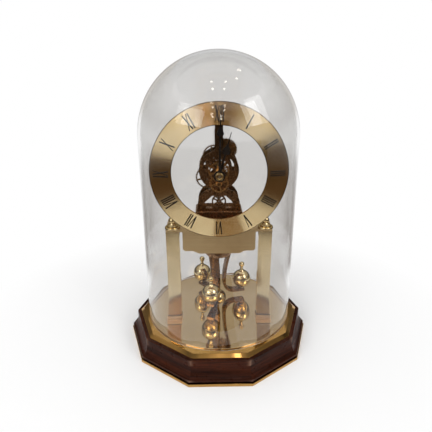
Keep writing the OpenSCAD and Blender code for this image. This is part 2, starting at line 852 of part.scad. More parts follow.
// Pinion beside its wheel, driven by the great wheel; the long front pivot clears the centre wheel
module intermediate_arbor() {
    y0 = inter_wheel_y + wheel_t;
    color("silver") union() {
        train_arbor(inter_at, centre_wheel_y + wheel_t + shoulder_gap);
        pinion(inter_at, y0, great_wheel_y + great_wheel_t + pinion_over - y0, pinion_n, train_module, 0);
    }
}

module intermediate_wheel() {
    color("#b08a44") crossed_wheel(inter_at, inter_wheel_y, wheel_t, inter_n, train_module,
        inter_turn, arbor_r, hub = 3, rim_drop = 1.5, count = 4);
}

module centre_arbor() {
    color("silver") {
        rod_y(centre, nut_y - thread_out, back_y - shoulder_gap, arbor_r);
        rod_y(centre, back_y - shoulder_gap, rear_y + pivot_out, pivot_r);
        difference() {
            pinion(centre, inter_wheel_y - pinion_over, wheel_t + 2 * pinion_over, pinion_n, train_module, 0);
            rod_y(centre, nut_y, back_y, arbor_r - eps);
        }
    }
}

module centre_wheel() {
    color("#b08a44") crossed_wheel(centre, centre_wheel_y, wheel_t, centre_n, train_module,
        0, arbor_r, hub = 3, rim_drop = 1.6, count = 5);
}

module cannon_pinion() {
    color("silver") difference() {
        union() {
            pinion(centre, cannon_y - cannon_t, cannon_t, cannon_n, train_module, 0);
            rod_y(centre, minute_hand_y, cannon_y - cannon_t, cannon_pipe_r);
        }
        bore_y(centre, minute_hand_y, cannon_y, arbor_r);
    }
}

module minute_wheel() {
    color("#b08a44") difference() {
        union() {
            crossed_wheel(minute_at_pos, minute_wheel_y - wheel_t, wheel_t, minute_n, train_module,
                minute_turn, stud_r + running, hub = 3, rim_drop = 1.6, count = 4);
            pinion(minute_at_pos, minute_wheel_y - minute_pinion_t, minute_pinion_t - wheel_t,
                minute_pinion_n, hour_module, 0);
        }
        bore_y(minute_at_pos, minute_wheel_y - minute_pinion_t, minute_wheel_y, stud_r + running);
    }
}

module hour_wheel() {
    color("#b08a44") {
        crossed_wheel(centre, hour_wheel_y - wheel_t, wheel_t, hour_n, hour_module,
            hour_turn, hour_bore_r, hub = 3.8, rim_drop = 1.6, count = 4);
        difference() {
            rod_y(centre, hour_hand_y - hand_t, hour_wheel_y - wheel_t, hour_pipe_r);
            bore_y(centre, hour_hand_y - hand_t, hour_wheel_y - wheel_t, hour_bore_r);
        }
    }
}

// Spade hand pointing up: hub, tapered shaft, spade and fine tip
module hand_outline(len, spade, hub, spade_r) {
    neck_half = 0.3 * hand_w;
    wing = [1.2 * spade_r, spade + 0.42 * spade_r];
    point_half = 0.55;
    point = [point_half, spade + 2.5 * spade_r];
    tip_half = 0.2;
    circle(r = hub);
    polygon([[-hand_w / 2, 0], [hand_w / 2, 0], [neck_half, spade], [-neck_half, spade]]);
    for (s = [-1, 1]) translate([s * spade_r * 0.62, spade]) circle(r = 0.72 * spade_r);
    polygon([[-wing[0], wing[1]], wing, point, [tip_half, len], [-tip_half, len], [-point[0], point[1]]]);
}

module minute_hand() {
    hub_r = 5.2;
    spade_r = 2.4;
    color("black") front_slab(minute_hand_y - hand_t, hand_t)
        translate(centre) rotate(-minute_at) difference() {
            hand_outline(minute_len, minute_spade, hub_r, spade_r);
            circle(r = arbor_r);
        }
}

module hour_hand() {
    hub_wall = 1.4;
    hub_r = hour_pipe_r + hub_wall;
    spade_r = 2.8;
    color("black") front_slab(hour_hand_y - hand_t, hand_t)
        translate(centre) rotate(-hour_at) difference() {
            hand_outline(hour_len, hour_spade, hub_r, spade_r);
            circle(r = hour_pipe_r);
        }
}

module hand_nut() {
    step_y = nut_y - 0.4 * nut_t;
    color("goldenrod") difference() {
        union() {
            rod_y(centre, step_y, nut_y, nut_r);
            rod_y(centre, nut_y - nut_t, step_y, 0.85 * nut_r);
        }
        rod_y(centre, nut_y - nut_t - over, nut_y - thread_out, 0.6 * nut_r);
        rod_y(centre, nut_y - thread_out - eps, nut_y + over, arbor_r);
    }
}

module arbor_with_pinion(at, y, turn) {
    color("silver") union() {
        train_arbor(at);
        pinion(at, y - pinion_over, wheel_t + 2 * pinion_over, pinion_n, train_module, turn);
    }
}

module third_arbor() {
    arbor_with_pinion(third_at, centre_wheel_y, third_pinion_turn);
}

module third_wheel() {
    color("#b08a44") crossed_wheel(third_at, third_wheel_y, wheel_t, third_n, train_module,
        0, arbor_r, hub = 2.8, rim_drop = 1.3, count = 4);
}

module escape_arbor() {
    arbor_with_pinion(escape_at, third_wheel_y, escape_pinion_turn);
}

module escape_wheel() {
    rim_w = 3;
    hub_r = 2.6;
    color("#b08a44") front_slab(escape_wheel_y, wheel_t) translate(escape_at) difference() {
        saw_outline(escape_n, escape_r, depth = 1.7, lean = 11);
        crossings(hub_r, escape_r - rim_w, count = 4, spoke_w = 1.2);
        circle(r = arbor_r);
    }
}

// Anchor round the lower half of the escape wheel, its pallets just clear of the teeth
module anchor() {
    pallet_gap = 0.85;
    pallet_w = 2.2;
    hub_r = 2.4;
    lap = 0.4;
    clear_r = escape_r + pallet_gap;
    arm_r = clear_r + pallet_w;
    span = 62;
    color("silver") {
        front_slab(escape_wheel_y - (anchor_t - wheel_t) / 2, anchor_t) {
            translate(escape_at) arc_slot(clear_r, arm_r, -90 - span, -90 + span);
            translate(anchor_at) circle(r = hub_r);
            translate(anchor_at - [hub_r / 2, 0]) square([hub_r, anchor_drop - clear_r - lap]);
        }
        rod_y(anchor_at, train_back + shoulder_gap, crutch_y + crutch_r, arbor_r);
        rod_y(anchor_at, front_y - pivot_out, train_back + shoulder_gap, pivot_r);
    }
}

// Wire that carries the anchor's swing up to the fork
module crutch() {
    top = fork_at + fork_h / 2 + 1;
    eye_r = 2;
    color("silver") difference() {
        union() {
            rod_y(anchor_at, crutch_y - crutch_r, crutch_y + crutch_r, eye_r);
            translate([anchor_at[0], crutch_y, anchor_at[1]]) cylinder(r = crutch_r, h = top - anchor_at[1]);
        }
        bore_y(anchor_at, crutch_y - crutch_r, crutch_y + crutch_r, arbor_r);
    }
}

// Bracket on the neck of the back plate that holds the suspension's top block
module suspension_bracket() {
    reach = pend_y - rear_y + block_w / 2 + 1;
    arm_h = 2.4;
    flange_h = 6;
    flange_t = 1.6;
    low = block_low + block_tall;
    color("#8a6a3a") {
        translate([-neck_w / 2, rear_y, low]) cube([neck_w, reach, arm_h]);
        translate([-neck_w / 2, rear_y, low - flange_h]) cube([neck_w, flange_t, flange_h]);
    }
}

module suspension_block() {
    color("#b08a44") difference() {
        translate([-block_w / 2, pend_y - block_w / 2, block_low]) cube([block_w, block_w, block_tall]);
        translate([-strip_w / 2, pend_y - strip_t / 2, block_low - eps])
            cube([strip_w, strip_t, block_tall / 2 + eps]);
    }
}

// Flat strip on the pendulum's axis from z0 up to z1
module strip(z0, z1) {
    color("lightsteelblue") translate([-strip_w / 2, pend_y - strip_t / 2, z0])
        cube([strip_w, strip_t, z1 - z0]);
}

module strip_upper() {
    strip(fork_at + fork_h / 2 + strip_gap, block_low + block_tall / 2);
}

// Fork clamped on the strip, its tines on both sides of the crutch
module suspension_fork() {
    tine_w = 0.8;
    tine_h = 1.6;
    slot_w = 2.4;
    reach = pend_y - crutch_y;
    color("#b08a44") translate([0, pend_y, fork_at]) {
        translate([-block_w / 2, -block_w / 2, -fork_h / 2]) cube([block_w, block_w, fork_h]);
        for (x = [-slot_w / 2 - tine_w, slot_w / 2])
            translate([x, -reach - block_w / 2, -tine_h / 2]) cube([tine_w, reach, tine_h]);
    }
}

module strip_lower() {
    strip(collar_low + collar_h / 2, fork_at - fork_h / 2 - strip_gap);
}

// Dark disc that the arms hang from, with a boss up to the suspension
module pendulum_crown() {
    color("#33241c") translate([0, pend_y, 0]) difference() {
        union() {
            translate([0, 0, crown_low]) cylinder(r = crown_r, h = crown_t);
            translate([0, 0, nut_low]) cylinder(r = collar_r, h = collar_low + collar_h - nut_low);
        }
        translate([-strip_w / 2, -strip_t / 2, collar_low + collar_h / 2])
            cube([strip_w, strip_t, collar_h]);
        translate([0, 0, crown_low - eps]) cylinder(r = rod_r, h = crown_t / 2 + eps);
    }
}

module regulating_nut() {
    groove_r = 0.4;
    color("goldenrod") translate([0, pend_y, nut_low + strip_gap]) difference() {
        cylinder(r = regulating_r, h = regulating_h);
        translate([0, 0, -eps]) cylinder(r = collar_r + running, h = regulating_h + 2 * eps);
        for (a = [0 : 20 : 340]) rotate(a) translate([regulating_r, 0, -eps])
            cylinder(r = groove_r, h = regulating_h + 2 * eps, $fn = 16);
    }
}

module pendulum_rod() {
    low = floor_z + 1.5;
    color("#b08a44") translate([0, pend_y, low])
        cylinder(r = rod_r, h = crown_low + crown_t / 2 - low);
}

// Curved blade from the crown in to a waist and out again under a ball
module pendulum_arm(i) {
    steps = 12;
    function side(d) = concat(
        [[arm_waist_r + arm_sweep_r - (arm_sweep_r - d) * cos(arm_sweep), crown_low]],
        [for (k = [steps - 1 : -1 : 1]) let (a = arm_sweep * k / steps, r = arm_sweep_r - d)
            [arm_waist_r + arm_sweep_r - r * cos(a), min(crown_low, arm_bend_z + r * sin(a))]],
        [for (k = [0 : steps]) let (a = 90 * k / steps, r = arm_bend_r - d)
            [arm_bend_x - r * cos(a), arm_bend_z - r * sin(a)]]);
    inner = side(-arm_t / 2);
    outer = side(arm_t / 2);
    tip = ball_ring_r + 3;
    color("#3a2a20") translate([0, pend_y, 0]) rotate(ball_at + 120 * (i - 1)) difference() {
        translate([0, arm_w / 2, 0]) rotate([90, 0, 0]) linear_extrude(arm_w) polygon(concat(inner,
            [[tip, arm_low - arm_t / 2], [tip, arm_low + arm_t / 2]],
            [for (k = [len(outer) - 1 : -1 : 0]) outer[k]]));
        translate([ball_ring_r, 0, arm_low - arm_t]) cylinder(r = ball_stud_r, h = 2 * arm_t);
    }
}

// Ball with a stud through the arm below and a turned finial above
module pendulum_ball(i) {
    z = top_z + ball_z;
    stud_low = arm_low - arm_t / 2;
    seat_low = arm_low + arm_t / 2;
    seat_r = 3;
    neck_in = 0.4;
    neck_r = [3.8, 1.7];
    tip_z = z + ball_r + ball_tip_h - ball_tip_r;
    neck_z = z + ball_r - neck_in;
    color("gold") translate([0, pend_y, 0]) rotate(ball_at + 120 * (i - 1)) translate([ball_ring_r, 0, 0]) {
        translate([0, 0, z]) sphere(r = ball_r, $fn = 96);
        translate([0, 0, stud_low]) cylinder(r = ball_stud_r, h = z - stud_low);
        translate([0, 0, seat_low]) cylinder(r = seat_r, h = z - ball_r + 0.6 - seat_low);
        translate([0, 0, neck_z])
            cylinder(r1 = neck_r[0], r2 = neck_r[1], h = tip_z - ball_tip_r + neck_in - neck_z);
        translate([0, 0, tip_z]) sphere(r = ball_tip_r);
    }
}

module glass_dome() {
    inner_r = dome_r - dome_wall;
    color("lightblue", 0.25) translate([0, 0, top_z]) difference() {
        union() {
            cylinder(r = dome_r, h = dome_straight, $fn = round_fn);
            translate([0, 0, dome_straight]) sphere(r = dome_r, $fn = round_fn);
        }
        translate([0, 0, -dome_r]) cylinder(r = inner_r, h = dome_straight + dome_r, $fn = round_fn);
        translate([0, 0, dome_straight]) sphere(r = inner_r, $fn = round_fn);
    }
}

base_foot();
base_board();
base_wood();
base_plate();
floor_disc();
guide_cup();
plinth(-1);  // plinth_left
plinth(1);  // plinth_right
pillar(-1);  // pillar_left
pillar(1);  // pillar_right
pillar_screws();
platform();
apron_plate();
finial(-1);  // finial_left
finial(1);  // finial_right
movement_base();
front_plate();
back_plate();
movement_posts();
minute_stud();
dial_ring();
dial_numerals();
dial_feet();
barrel_drum();
great_wheel();
barrel_arbor();
ratchet_wheel();
click();
intermediate_arbor();
intermediate_wheel();
centre_arbor();
centre_wheel();
cannon_pinion();
minute_hand();
hand_nut();
minute_wheel();
hour_wheel();
hour_hand();
third_arbor();
third_wheel();
escape_arbor();
escape_wheel();
anchor();
crutch();
suspension_bracket();
suspension_block();
strip_upper();
suspension_fork();
strip_lower();
pendulum_crown();
pendulum_rod();
regulating_nut();
pendulum_arm(1);  // arm_1
pendulum_arm(2);  // arm_2
pendulum_arm(3);  // arm_3
pendulum_ball(1);  // ball_1
pendulum_ball(2);  // ball_2
pendulum_ball(3);  // ball_3
glass_dome();
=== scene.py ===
import math
import bmesh
import bpy
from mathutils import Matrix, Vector


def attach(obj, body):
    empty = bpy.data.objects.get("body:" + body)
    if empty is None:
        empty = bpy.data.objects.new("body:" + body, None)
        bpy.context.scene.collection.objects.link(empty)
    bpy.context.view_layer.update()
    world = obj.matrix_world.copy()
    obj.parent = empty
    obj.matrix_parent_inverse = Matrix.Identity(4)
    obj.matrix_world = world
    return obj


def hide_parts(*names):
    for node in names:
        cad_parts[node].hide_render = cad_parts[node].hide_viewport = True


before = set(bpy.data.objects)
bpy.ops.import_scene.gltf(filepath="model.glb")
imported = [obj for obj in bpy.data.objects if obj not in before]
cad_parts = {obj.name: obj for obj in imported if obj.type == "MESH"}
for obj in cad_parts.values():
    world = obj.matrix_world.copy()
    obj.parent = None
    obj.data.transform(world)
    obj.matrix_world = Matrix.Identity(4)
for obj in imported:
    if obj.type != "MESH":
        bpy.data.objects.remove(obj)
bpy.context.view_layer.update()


# Foot ring: a ten-sided ring of lacquered brass that the clock stands on, screwed up into the wood.
# It is cut from strip, so the buffing runs along each side; the lacquer has dulled in small clouds.
MM = 0.001
SIDES = 10
STATIONS = 8          # points along each side of the base
FOOT_TOP = 3.0
FOOT_CORNER = 97.0
FOOT_BORE = 80.0


def placed(name, data):
    """A new object in the scene."""
    obj = bpy.data.objects.new(name, data)
    bpy.context.scene.collection.objects.link(obj)
    return obj


def plug(node, inputs):
    """Sets a node's inputs; each takes a plain value, an output, or a node for its first output."""
    for key, value in inputs.items():
        if isinstance(value, bpy.types.Node):
            value = value.outputs[0]
        if isinstance(value, bpy.types.NodeSocket):
            node.id_data.links.new(value, node.inputs[key])
        else:
            node.inputs[key].default_value = value


def node_adder(tree, family="ShaderNode"):
    """Gives a function that adds a node of this family to the tree, with its inputs and settings."""
    def add(kind, inputs=(), **settings):
        node = tree.nodes.new(family + kind)
        for key, value in settings.items():
            setattr(node, key, value)
        plug(node, dict(inputs))
        return node
    return add


def blank_material(name):
    """A new material, its node adder and its shader."""
    material = bpy.data.materials.new(name)
    material.use_nodes = True
    return material, node_adder(material.node_tree), material.node_tree.nodes["Principled BSDF"]


def here(add):
    """Where a point is, in m."""
    return add("TexCoord").outputs["Object"]


def noise(add, place, scale, detail, roughness=0.5, distortion=0.0):
    """Cloudy noise at a place."""
    return add("TexNoise", {"Vector": place, "Scale": scale, "Detail": detail, "Roughness": roughness,
                            "Distortion": distortion})


def worked(add, operation, *values):
    """A sum on plain values or outputs."""
    return add("Math", dict(enumerate(values)), operation=operation).outputs[0]


def fade(add, value, near, far, start=0.0, end=1.0, soft=False):
    """Runs from start to end as a value goes from near to far."""
    return add("MapRange", {"Value": value, "From Min": near, "From Max": far,
                            "To Min": start, "To Max": end},
               interpolation_type="SMOOTHSTEP" if soft else "LINEAR").outputs[0]


def blended(add, share, first, second, blend_type="MIX"):
    """A mix of two tones."""
    return add("Mix", {0: share, 6: first, 7: second}, data_type="RGBA", blend_type=blend_type).outputs[2]


def shader_group(name, takes, gives):
    """An empty shader group with named inputs and outputs, its adder and its two ends."""
    group = bpy.data.node_groups.new(name, "ShaderNodeTree")
    kinds = {"v": "NodeSocketVector", "c": "NodeSocketColor", "f": "NodeSocketFloat"}
    for label, kind in takes:
        group.interface.new_socket(label, in_out="INPUT", socket_type=kinds[kind])
    for label, kind in gives:
        group.interface.new_socket(label, in_out="OUTPUT", socket_type=kinds[kind])
    entry = group.nodes.new("NodeGroupInput")
    leave = group.nodes.new("NodeGroupOutput")
    return group, node_adder(group), entry.outputs, leave


# Clouds of dulled lacquer, smudges in the gloss and fine pits, for every metal on the clock
SMUDGES_IN_CLOUD = 6.5      # how much finer a smudge is than a cloud
SMUDGE_LEVEL = 0.45         # smear that leaves the gloss as it is
DULL_ROUGHNESS = 0.12       # roughness that a dulled place adds
patina, add, given, result = shader_group(
    "metal patina",
    [("Place", "v"), ("Clean", "c"), ("Dull", "c"), ("Patch", "f"), ("Dulling", "f"),
     ("Gloss", "f"), ("Smudge", "f")],
    [("Colour", "c"), ("Roughness", "f"), ("Height", "f")])
cloud = noise(add, given["Place"], given["Patch"], 5.0, roughness=0.62)
dulled = worked(add, "MULTIPLY", fade(add, cloud, 0.40, 0.74), given["Dulling"])
toned = blended(add, dulled, given["Clean"], given["Dull"])
finer = worked(add, "MULTIPLY", given["Patch"], SMUDGES_IN_CLOUD)
smear = noise(add, given["Place"], finer, 3.0, distortion=0.6)
spread = worked(add, "SUBTRACT", smear, SMUDGE_LEVEL)
spread = worked(add, "MULTIPLY_ADD", spread, given["Smudge"], given["Gloss"])
rough = worked(add, "MULTIPLY_ADD", dulled, DULL_ROUGHNESS, spread)
rough = add("Clamp", {"Value": rough, "Min": 0.03, "Max": 0.9})
pits = noise(add, given["Place"], 1400.0, 2.0)
plug(result, {"Colour": toned, "Roughness": rough, "Height": pits})

# Fine lines left by a brush, buff or lathe; the place is stretched along the lines beforehand
brush, add, given, result = shader_group(
    "brush lines", [("Place", "v"), ("Colour", "c"), ("Contrast", "f")], [("Colour", "c"), ("Height", "f")])
line = noise(add, given["Place"], 1.0, 3.0, roughness=0.7)
shade = fade(add, line, 0.3, 0.7, worked(add, "SUBTRACT", 1.0, given["Contrast"]))
lined = blended(add, 1.0, given["Colour"], shade, blend_type="MULTIPLY")
plug(result, {"Colour": lined, "Height": line})


def metal(name, clean, dull, patch, dulling, gloss, smudge, bump,
          lines=None, contrast=0.0, uv=None, **sockets):
    """A metal with patina; lines gives the stretch of its brush marks, uv the map that they follow, and
    sockets the shader's own values."""
    material, add, shader = blank_material(name)
    place = here(add)
    wear = add("Group", {"Place": place, "Clean": (*clean, 1), "Dull": (*dull, 1), "Patch": patch,
                         "Dulling": dulling, "Gloss": gloss, "Smudge": smudge}, node_tree=patina)
    colour, height = wear.outputs["Colour"], wear.outputs["Height"]
    if lines:
        along = add("UVMap", uv_map=uv) if uv else place
        stretch = add("Mapping", {"Vector": along, "Scale": lines})
        marks = add("Group", {"Place": stretch, "Colour": colour, "Contrast": contrast}, node_tree=brush)
        colour, height = marks.outputs["Colour"], marks.outputs["Height"]
    relief = add("Bump", {"Height": height, "Distance": bump})
    plug(shader, {"Base Color": colour, "Roughness": wear.outputs["Roughness"], "Normal": relief,
                  "Metallic": 1.0, **{key.replace("_", " "): value for key, value in sockets.items()}})
    return material


def set_down(name, mesh, material, body, slot, *stands_for):
    """Puts a finished mesh into the scene on its body, in place of the solids it stands for."""
    mesh.materials.clear()
    mesh.materials.append(material)
    piece = placed(name, mesh)
    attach(piece, body)
    if stands_for:
        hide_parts(*stands_for)
    return piece


def smooth_but(mesh, degrees):
    """Smooth shading, with edges sharper than this left crisp."""
    mesh.polygons.foreach_set("use_smooth", [True] * len(mesh.polygons))
    mesh.set_sharp_from_angle(angle=math.radians(degrees))


CRISP = 30                  # degrees past which an edge is an edge


def broken_edge(piece, width, segments=2):
    """A small round on every crisp edge, as a file or buff leaves it; the width is in mm."""
    bevel = piece.modifiers.new("broken edge", "BEVEL")
    bevel.width = width * MM
    bevel.segments = segments
    bevel.limit_method = "ANGLE"
    bevel.angle_limit = math.radians(CRISP)
    bevel.harden_normals = True


def climbed(outline, ends):
    """Metres along an outline at each of its points; ends holds the point that follows each."""
    climb = [0.0]
    for a, b in zip(outline, ends):
        climb.append(climb[-1] + math.hypot(b[0] - a[0], b[1] - a[1]) * MM)
    return climb


def filled(mesh, bm, degrees):
    """Puts the faces into a mesh, facing outward, with edges sharper than this left crisp."""
    bmesh.ops.recalc_face_normals(bm, faces=bm.faces)
    bm.to_mesh(mesh)
    bm.free()
    smooth_but(mesh, degrees)
    return mesh


GRAIN_SHIFT = 0.137         # m from the map of one side to that of the next
SIDE_RUB_HIGHLIGHT = 0.35            # rubbing and painted highlight along an edge, where a corner has 1
MERGE = 0.000001            # m within which corners are one


def sided_ring(name, outline):
    """Ten-sided ring from a closed outline of (corner radius, height, round or not, edge with rubbing and
    painted highlight or not) in mm. Its map runs in metres along each side and up the outline."""
    mesh = bpy.data.meshes.new(name)
    bm = bmesh.new()
    along = bm.loops.layers.uv.new("grain")
    rub_highlight = bm.verts.layers.float.new("rub_highlight")
    side = 2 * math.sin(math.pi / SIDES)
    count = SIDES * STATIONS
    climb = climbed(outline, outline[1:] + outline[:1])
    rows = []
    for i in range(count):
        k, part = divmod(i, STATIONS)
        a0, a1 = (2 * math.pi * (k + d) / SIDES for d in (0, 1))
        f = part / STATIONS
        flat = Vector((math.cos(a0), math.sin(a0))).lerp(Vector((math.cos(a1), math.sin(a1))), f)
        turn = math.atan2(flat.y, flat.x)
        row = []
        for r, z, is_round, has_rub_highlight in outline:
            at = Vector((math.cos(turn), math.sin(turn))) if is_round else flat
            v = bm.verts.new((at.x * r * MM, at.y * r * MM, z * MM))
            v[rub_highlight] = has_rub_highlight * (1.0 if part == 0 else SIDE_RUB_HIGHLIGHT)
            row.append(v)
        rows.append(row)
    for i in range(count):
        k, part = divmod(i, STATIONS)
        left, right = rows[i], rows[(i + 1) % count]
        for j in range(len(outline)):
            n = (j + 1) % len(outline)
            if outline[j][0] == outline[n][0] == 0:
                continue
            face = bm.faces.new((left[j], right[j], right[n], left[n]))
            for loop, (u, v) in zip(face.loops, ((0, j), (1, j), (1, j + 1), (0, j + 1))):
                r = outline[j][0] * MM
                loop[along].uv = (k * GRAIN_SHIFT + (part + u) / STATIONS * side * r, climb[v])
    bmesh.ops.remove_doubles(bm, verts=bm.verts, dist=MERGE)
    return filled(mesh, bm, 28)


buffed_brass = metal("buffed brass", (0.55, 0.32, 0.10), (0.36, 0.17, 0.045), patch=45, dulling=0.55,
                     gloss=0.11, smudge=0.16, lines=(14, 900, 1), contrast=0.14, uv="grain", bump=0.000003)
foot = set_down("foot_ring", sided_ring("foot_ring", [
    (FOOT_BORE, 0, 1, 0), (FOOT_CORNER, 0, 0, 0),
    (FOOT_CORNER, FOOT_TOP, 0, 1), (FOOT_BORE, FOOT_TOP, 1, 0)]),
    buffed_brass, "stand", "polished_brass", "base_foot")
broken_edge(foot, 0.5)


# Bottom board: a round of thin brown fibreboard that closes the hollow base from below.
# It lies in the foot ring on the wood and six slotted steel screws hold it up.
SOLID_MERGE = 0.000004      # m within which a solid's loose corners are one
FLAT_WITHIN = 0.6           # degrees within which its triangles are one face


def dressed(name, node, material, body, slot, edge=0.0):
    """A copy of a solid with its triangles joined, smooth rounds and, where given, broken edges."""
    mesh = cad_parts[node].data.copy()
    mesh.name = name
    bm = bmesh.new()
    bm.from_mesh(mesh)
    bmesh.ops.remove_doubles(bm, verts=bm.verts, dist=SOLID_MERGE)
    bmesh.ops.dissolve_limit(bm, angle_limit=math.radians(FLAT_WITHIN), verts=bm.verts, edges=bm.edges)
    bm.to_mesh(mesh)
    bm.free()
    smooth_but(mesh, CRISP)
    piece = set_down(name, mesh, material, body, slot, node)
    if edge:
        broken_edge(piece, edge)


def grown(name, host_mesh, tree, values):
    """Runs a node tree on a host mesh with its named inputs set, and gives the plain mesh back."""
    host = placed(name, host_mesh)
    growth = host.modifiers.new("growth", "NODES")
    growth.node_group = tree
    for item in tree.interface.items_tree:
        if item.in_out == "INPUT" and item.name in values:
            growth[item.identifier] = values[item.name]
    mesh = bpy.data.meshes.new_from_object(host.evaluated_get(bpy.context.evaluated_depsgraph_get()))
    bpy.data.objects.remove(host)
    mesh.name = name
    return mesh


def geometry_tree(name, takes):
    """An empty geometry tree with named inputs, its adder and its two ends."""
    tree = bpy.data.node_groups.new(name, "GeometryNodeTree")
    tree.interface.new_socket("Geometry", in_out="INPUT", socket_type="NodeSocketGeometry")
    for label, kind, value in takes:
        socket = tree.interface.new_socket(label, in_out="INPUT", socket_type="NodeSocket" + kind)
        if value is not None:
            socket.default_value = value
    tree.interface.new_socket("Geometry", in_out="OUTPUT", socket_type="NodeSocketGeometry")
    add = node_adder(tree, family="")
    return tree, add, add("NodeGroupInput").outputs, add("NodeGroupOutput")


# Slotted screws: a chamfered head with a sawn slot on each point, facing the point's own way
HEAD_TAPER, SLOT_SHARE = 0.86, 0.3      # top and slot as shares of the head's radius
SLOT_LIFT = 1.05                        # height of the saw as a share of the head's
screws, add, given, result = geometry_tree("slotted screws", [
    ("Head radius", "Float", 0.0015), ("Head height", "Float", 0.0008), ("Slot width", "Float", 0.0004),
    ("Seed", "Int", 3), ("Finish", "Material", None)])
top = add("ShaderNodeMath", {0: given["Head radius"], 1: HEAD_TAPER}, operation="MULTIPLY")
head = add("GeometryNodeMeshCone", {"Vertices": 28, "Radius Top": top,
                                    "Radius Bottom": given["Head radius"], "Depth": given["Head height"]})
saw = add("ShaderNodeCombineXYZ", {0: 0.02, 1: given["Slot width"], 2: given["Head height"]})
cut = add("GeometryNodeMeshCube", {"Size": saw})
up = add("ShaderNodeMath", {0: given["Head height"], 1: SLOT_LIFT}, operation="MULTIPLY")
lift = add("ShaderNodeCombineXYZ", {2: up})
cut_at = add("GeometryNodeTransform", {"Geometry": cut, "Translation": lift})
slotted = add("GeometryNodeMeshBoolean", {0: head, 1: cut_at}, operation="DIFFERENCE")
facing = add("GeometryNodeInputNamedAttribute", {"Name": "facing"}, data_type="FLOAT_VECTOR")
upright = add("FunctionNodeAlignRotationToVector", {"Vector": facing}, axis="Z")
chance = add("FunctionNodeRandomValue", {2: 0.0, 3: 3.1, "Seed": given["Seed"]}, data_type="FLOAT")
spin = add("FunctionNodeAxisAngleToRotation", {"Axis": (0, 0, 1), "Angle": chance.outputs[1]})
driven = add("FunctionNodeRotateRotation", {0: upright, 1: spin}, rotation_space="LOCAL")
stood = add("GeometryNodeInstanceOnPoints", {"Points": given["Geometry"], "Instance": slotted,
                                             "Rotation": driven})
real = add("GeometryNodeRealizeInstances", {0: stood})
coated = add("GeometryNodeSetMaterial", {"Geometry": real, "Material": given["Finish"]})
plug(result, {0: coated})


def slotted_screws(name, places, radius, height, material, body, slot, seed):
    """Screw heads at (place in mm, way they face)."""
    points = bpy.data.meshes.new(name)
    points.from_pydata([Vector(p) * MM for p, _ in places], [], [])
    way = points.attributes.new("facing", "FLOAT_VECTOR", "POINT")
    for spot, (_, face) in zip(way.data, places):
        spot.vector = face
    mesh = grown(name, points, screws, {
        "Head radius": radius * MM, "Head height": height * MM, "Slot width": radius * SLOT_SHARE * MM,
        "Seed": seed, "Finish": material})
    smooth_but(mesh, 25)
    set_down(name, mesh, material, body, slot)


ground_steel = metal("ground steel", (0.55, 0.54, 0.53), (0.30, 0.26, 0.22), patch=160, dulling=0.45,
                     gloss=0.26, smudge=0.2, lines=(300, 300, 2600), contrast=0.2, bump=0.000004)

fibreboard, add, shader = blank_material("fibreboard")
fibre = add("Mapping", {"Vector": here(add), "Scale": (900, 240, 400)})
fibre = noise(add, fibre, 1.0, 6.0, roughness=0.75)
fibre_tone = add("ValToRGB", {"Fac": fibre})
for stop, (position, tone) in zip(fibre_tone.color_ramp.elements, (
        (0.3, (0.06, 0.033, 0.018, 1)), (0.72, (0.19, 0.11, 0.06, 1)))):
    stop.position, stop.color = position, tone
fibre_relief = add("Bump", {"Height": fibre, "Distance": 0.00008})
plug(shader, {"Base Color": fibre_tone, "Normal": fibre_relief, "Roughness": 0.78})
dressed("bottom_board", "base_board", fibreboard, "stand", "bottom_board", edge=0.2)

BOARD_SCREWS, SCREW_RING, SCREW_TURN = 6, 74.0, 18.0      # how many, radius in mm, first turn in degrees
SCREW_HEAD_R, SCREW_HEAD_H = 2.4, 0.7
screw_turns = [math.radians(360 / BOARD_SCREWS * k + SCREW_TURN) for k in range(BOARD_SCREWS)]
screw_places = [((SCREW_RING * math.cos(a), SCREW_RING * math.sin(a), SCREW_HEAD_H), (0, 0, -1))
                for a in screw_turns]
slotted_screws("board_screws", screw_places, SCREW_HEAD_R, SCREW_HEAD_H, ground_steel, "stand", "steel", 5)


# Wooden moulding: ten mitred lengths of dark stained mahogany, moulded with a shadow groove, a square
# band, a hollow cove and an upright lip, and finished with gloss lacquer; the arrises are painted lighter,
# for rubbed lacquer and a painted highlight.
WOOD_CORNER, WOOD_LIP, WOOD_BORE = 96.0, 89.8, 72.0
WOOD_TOP = 23.8
LIP_HEIGHT, BAND_HEIGHT, GROOVE_HEIGHT, GROOVE_DEPTH = 5.6, 2.4, 1.4, 3.0
LIP_WIDTH = 5.0
COVE_STEPS = 10
cove_low, cove_high = FOOT_TOP + GROOVE_HEIGHT + BAND_HEIGHT, WOOD_TOP - LIP_HEIGHT
cove = [(WOOD_CORNER - (WOOD_CORNER - WOOD_LIP) * math.sin(a),
         cove_low + (cove_high - cove_low) * (1 - math.cos(a)), 0, 1 if k in (0, COVE_STEPS) else 0)
        for k, a in ((k, math.pi / 2 * k / COVE_STEPS) for k in range(COVE_STEPS + 1))]
moulding = sided_ring("wood_moulding", [
    (WOOD_BORE, FOOT_TOP, 1, 0), (WOOD_CORNER - GROOVE_DEPTH, FOOT_TOP, 0, 0),
    (WOOD_CORNER - GROOVE_DEPTH, FOOT_TOP + GROOVE_HEIGHT, 0, 0),
    (WOOD_CORNER, FOOT_TOP + GROOVE_HEIGHT, 0, 1),
    *cove, (WOOD_LIP, WOOD_TOP, 0, 1), (WOOD_LIP - LIP_WIDTH, WOOD_TOP, 0, 0), (WOOD_BORE, WOOD_TOP, 1, 0)])

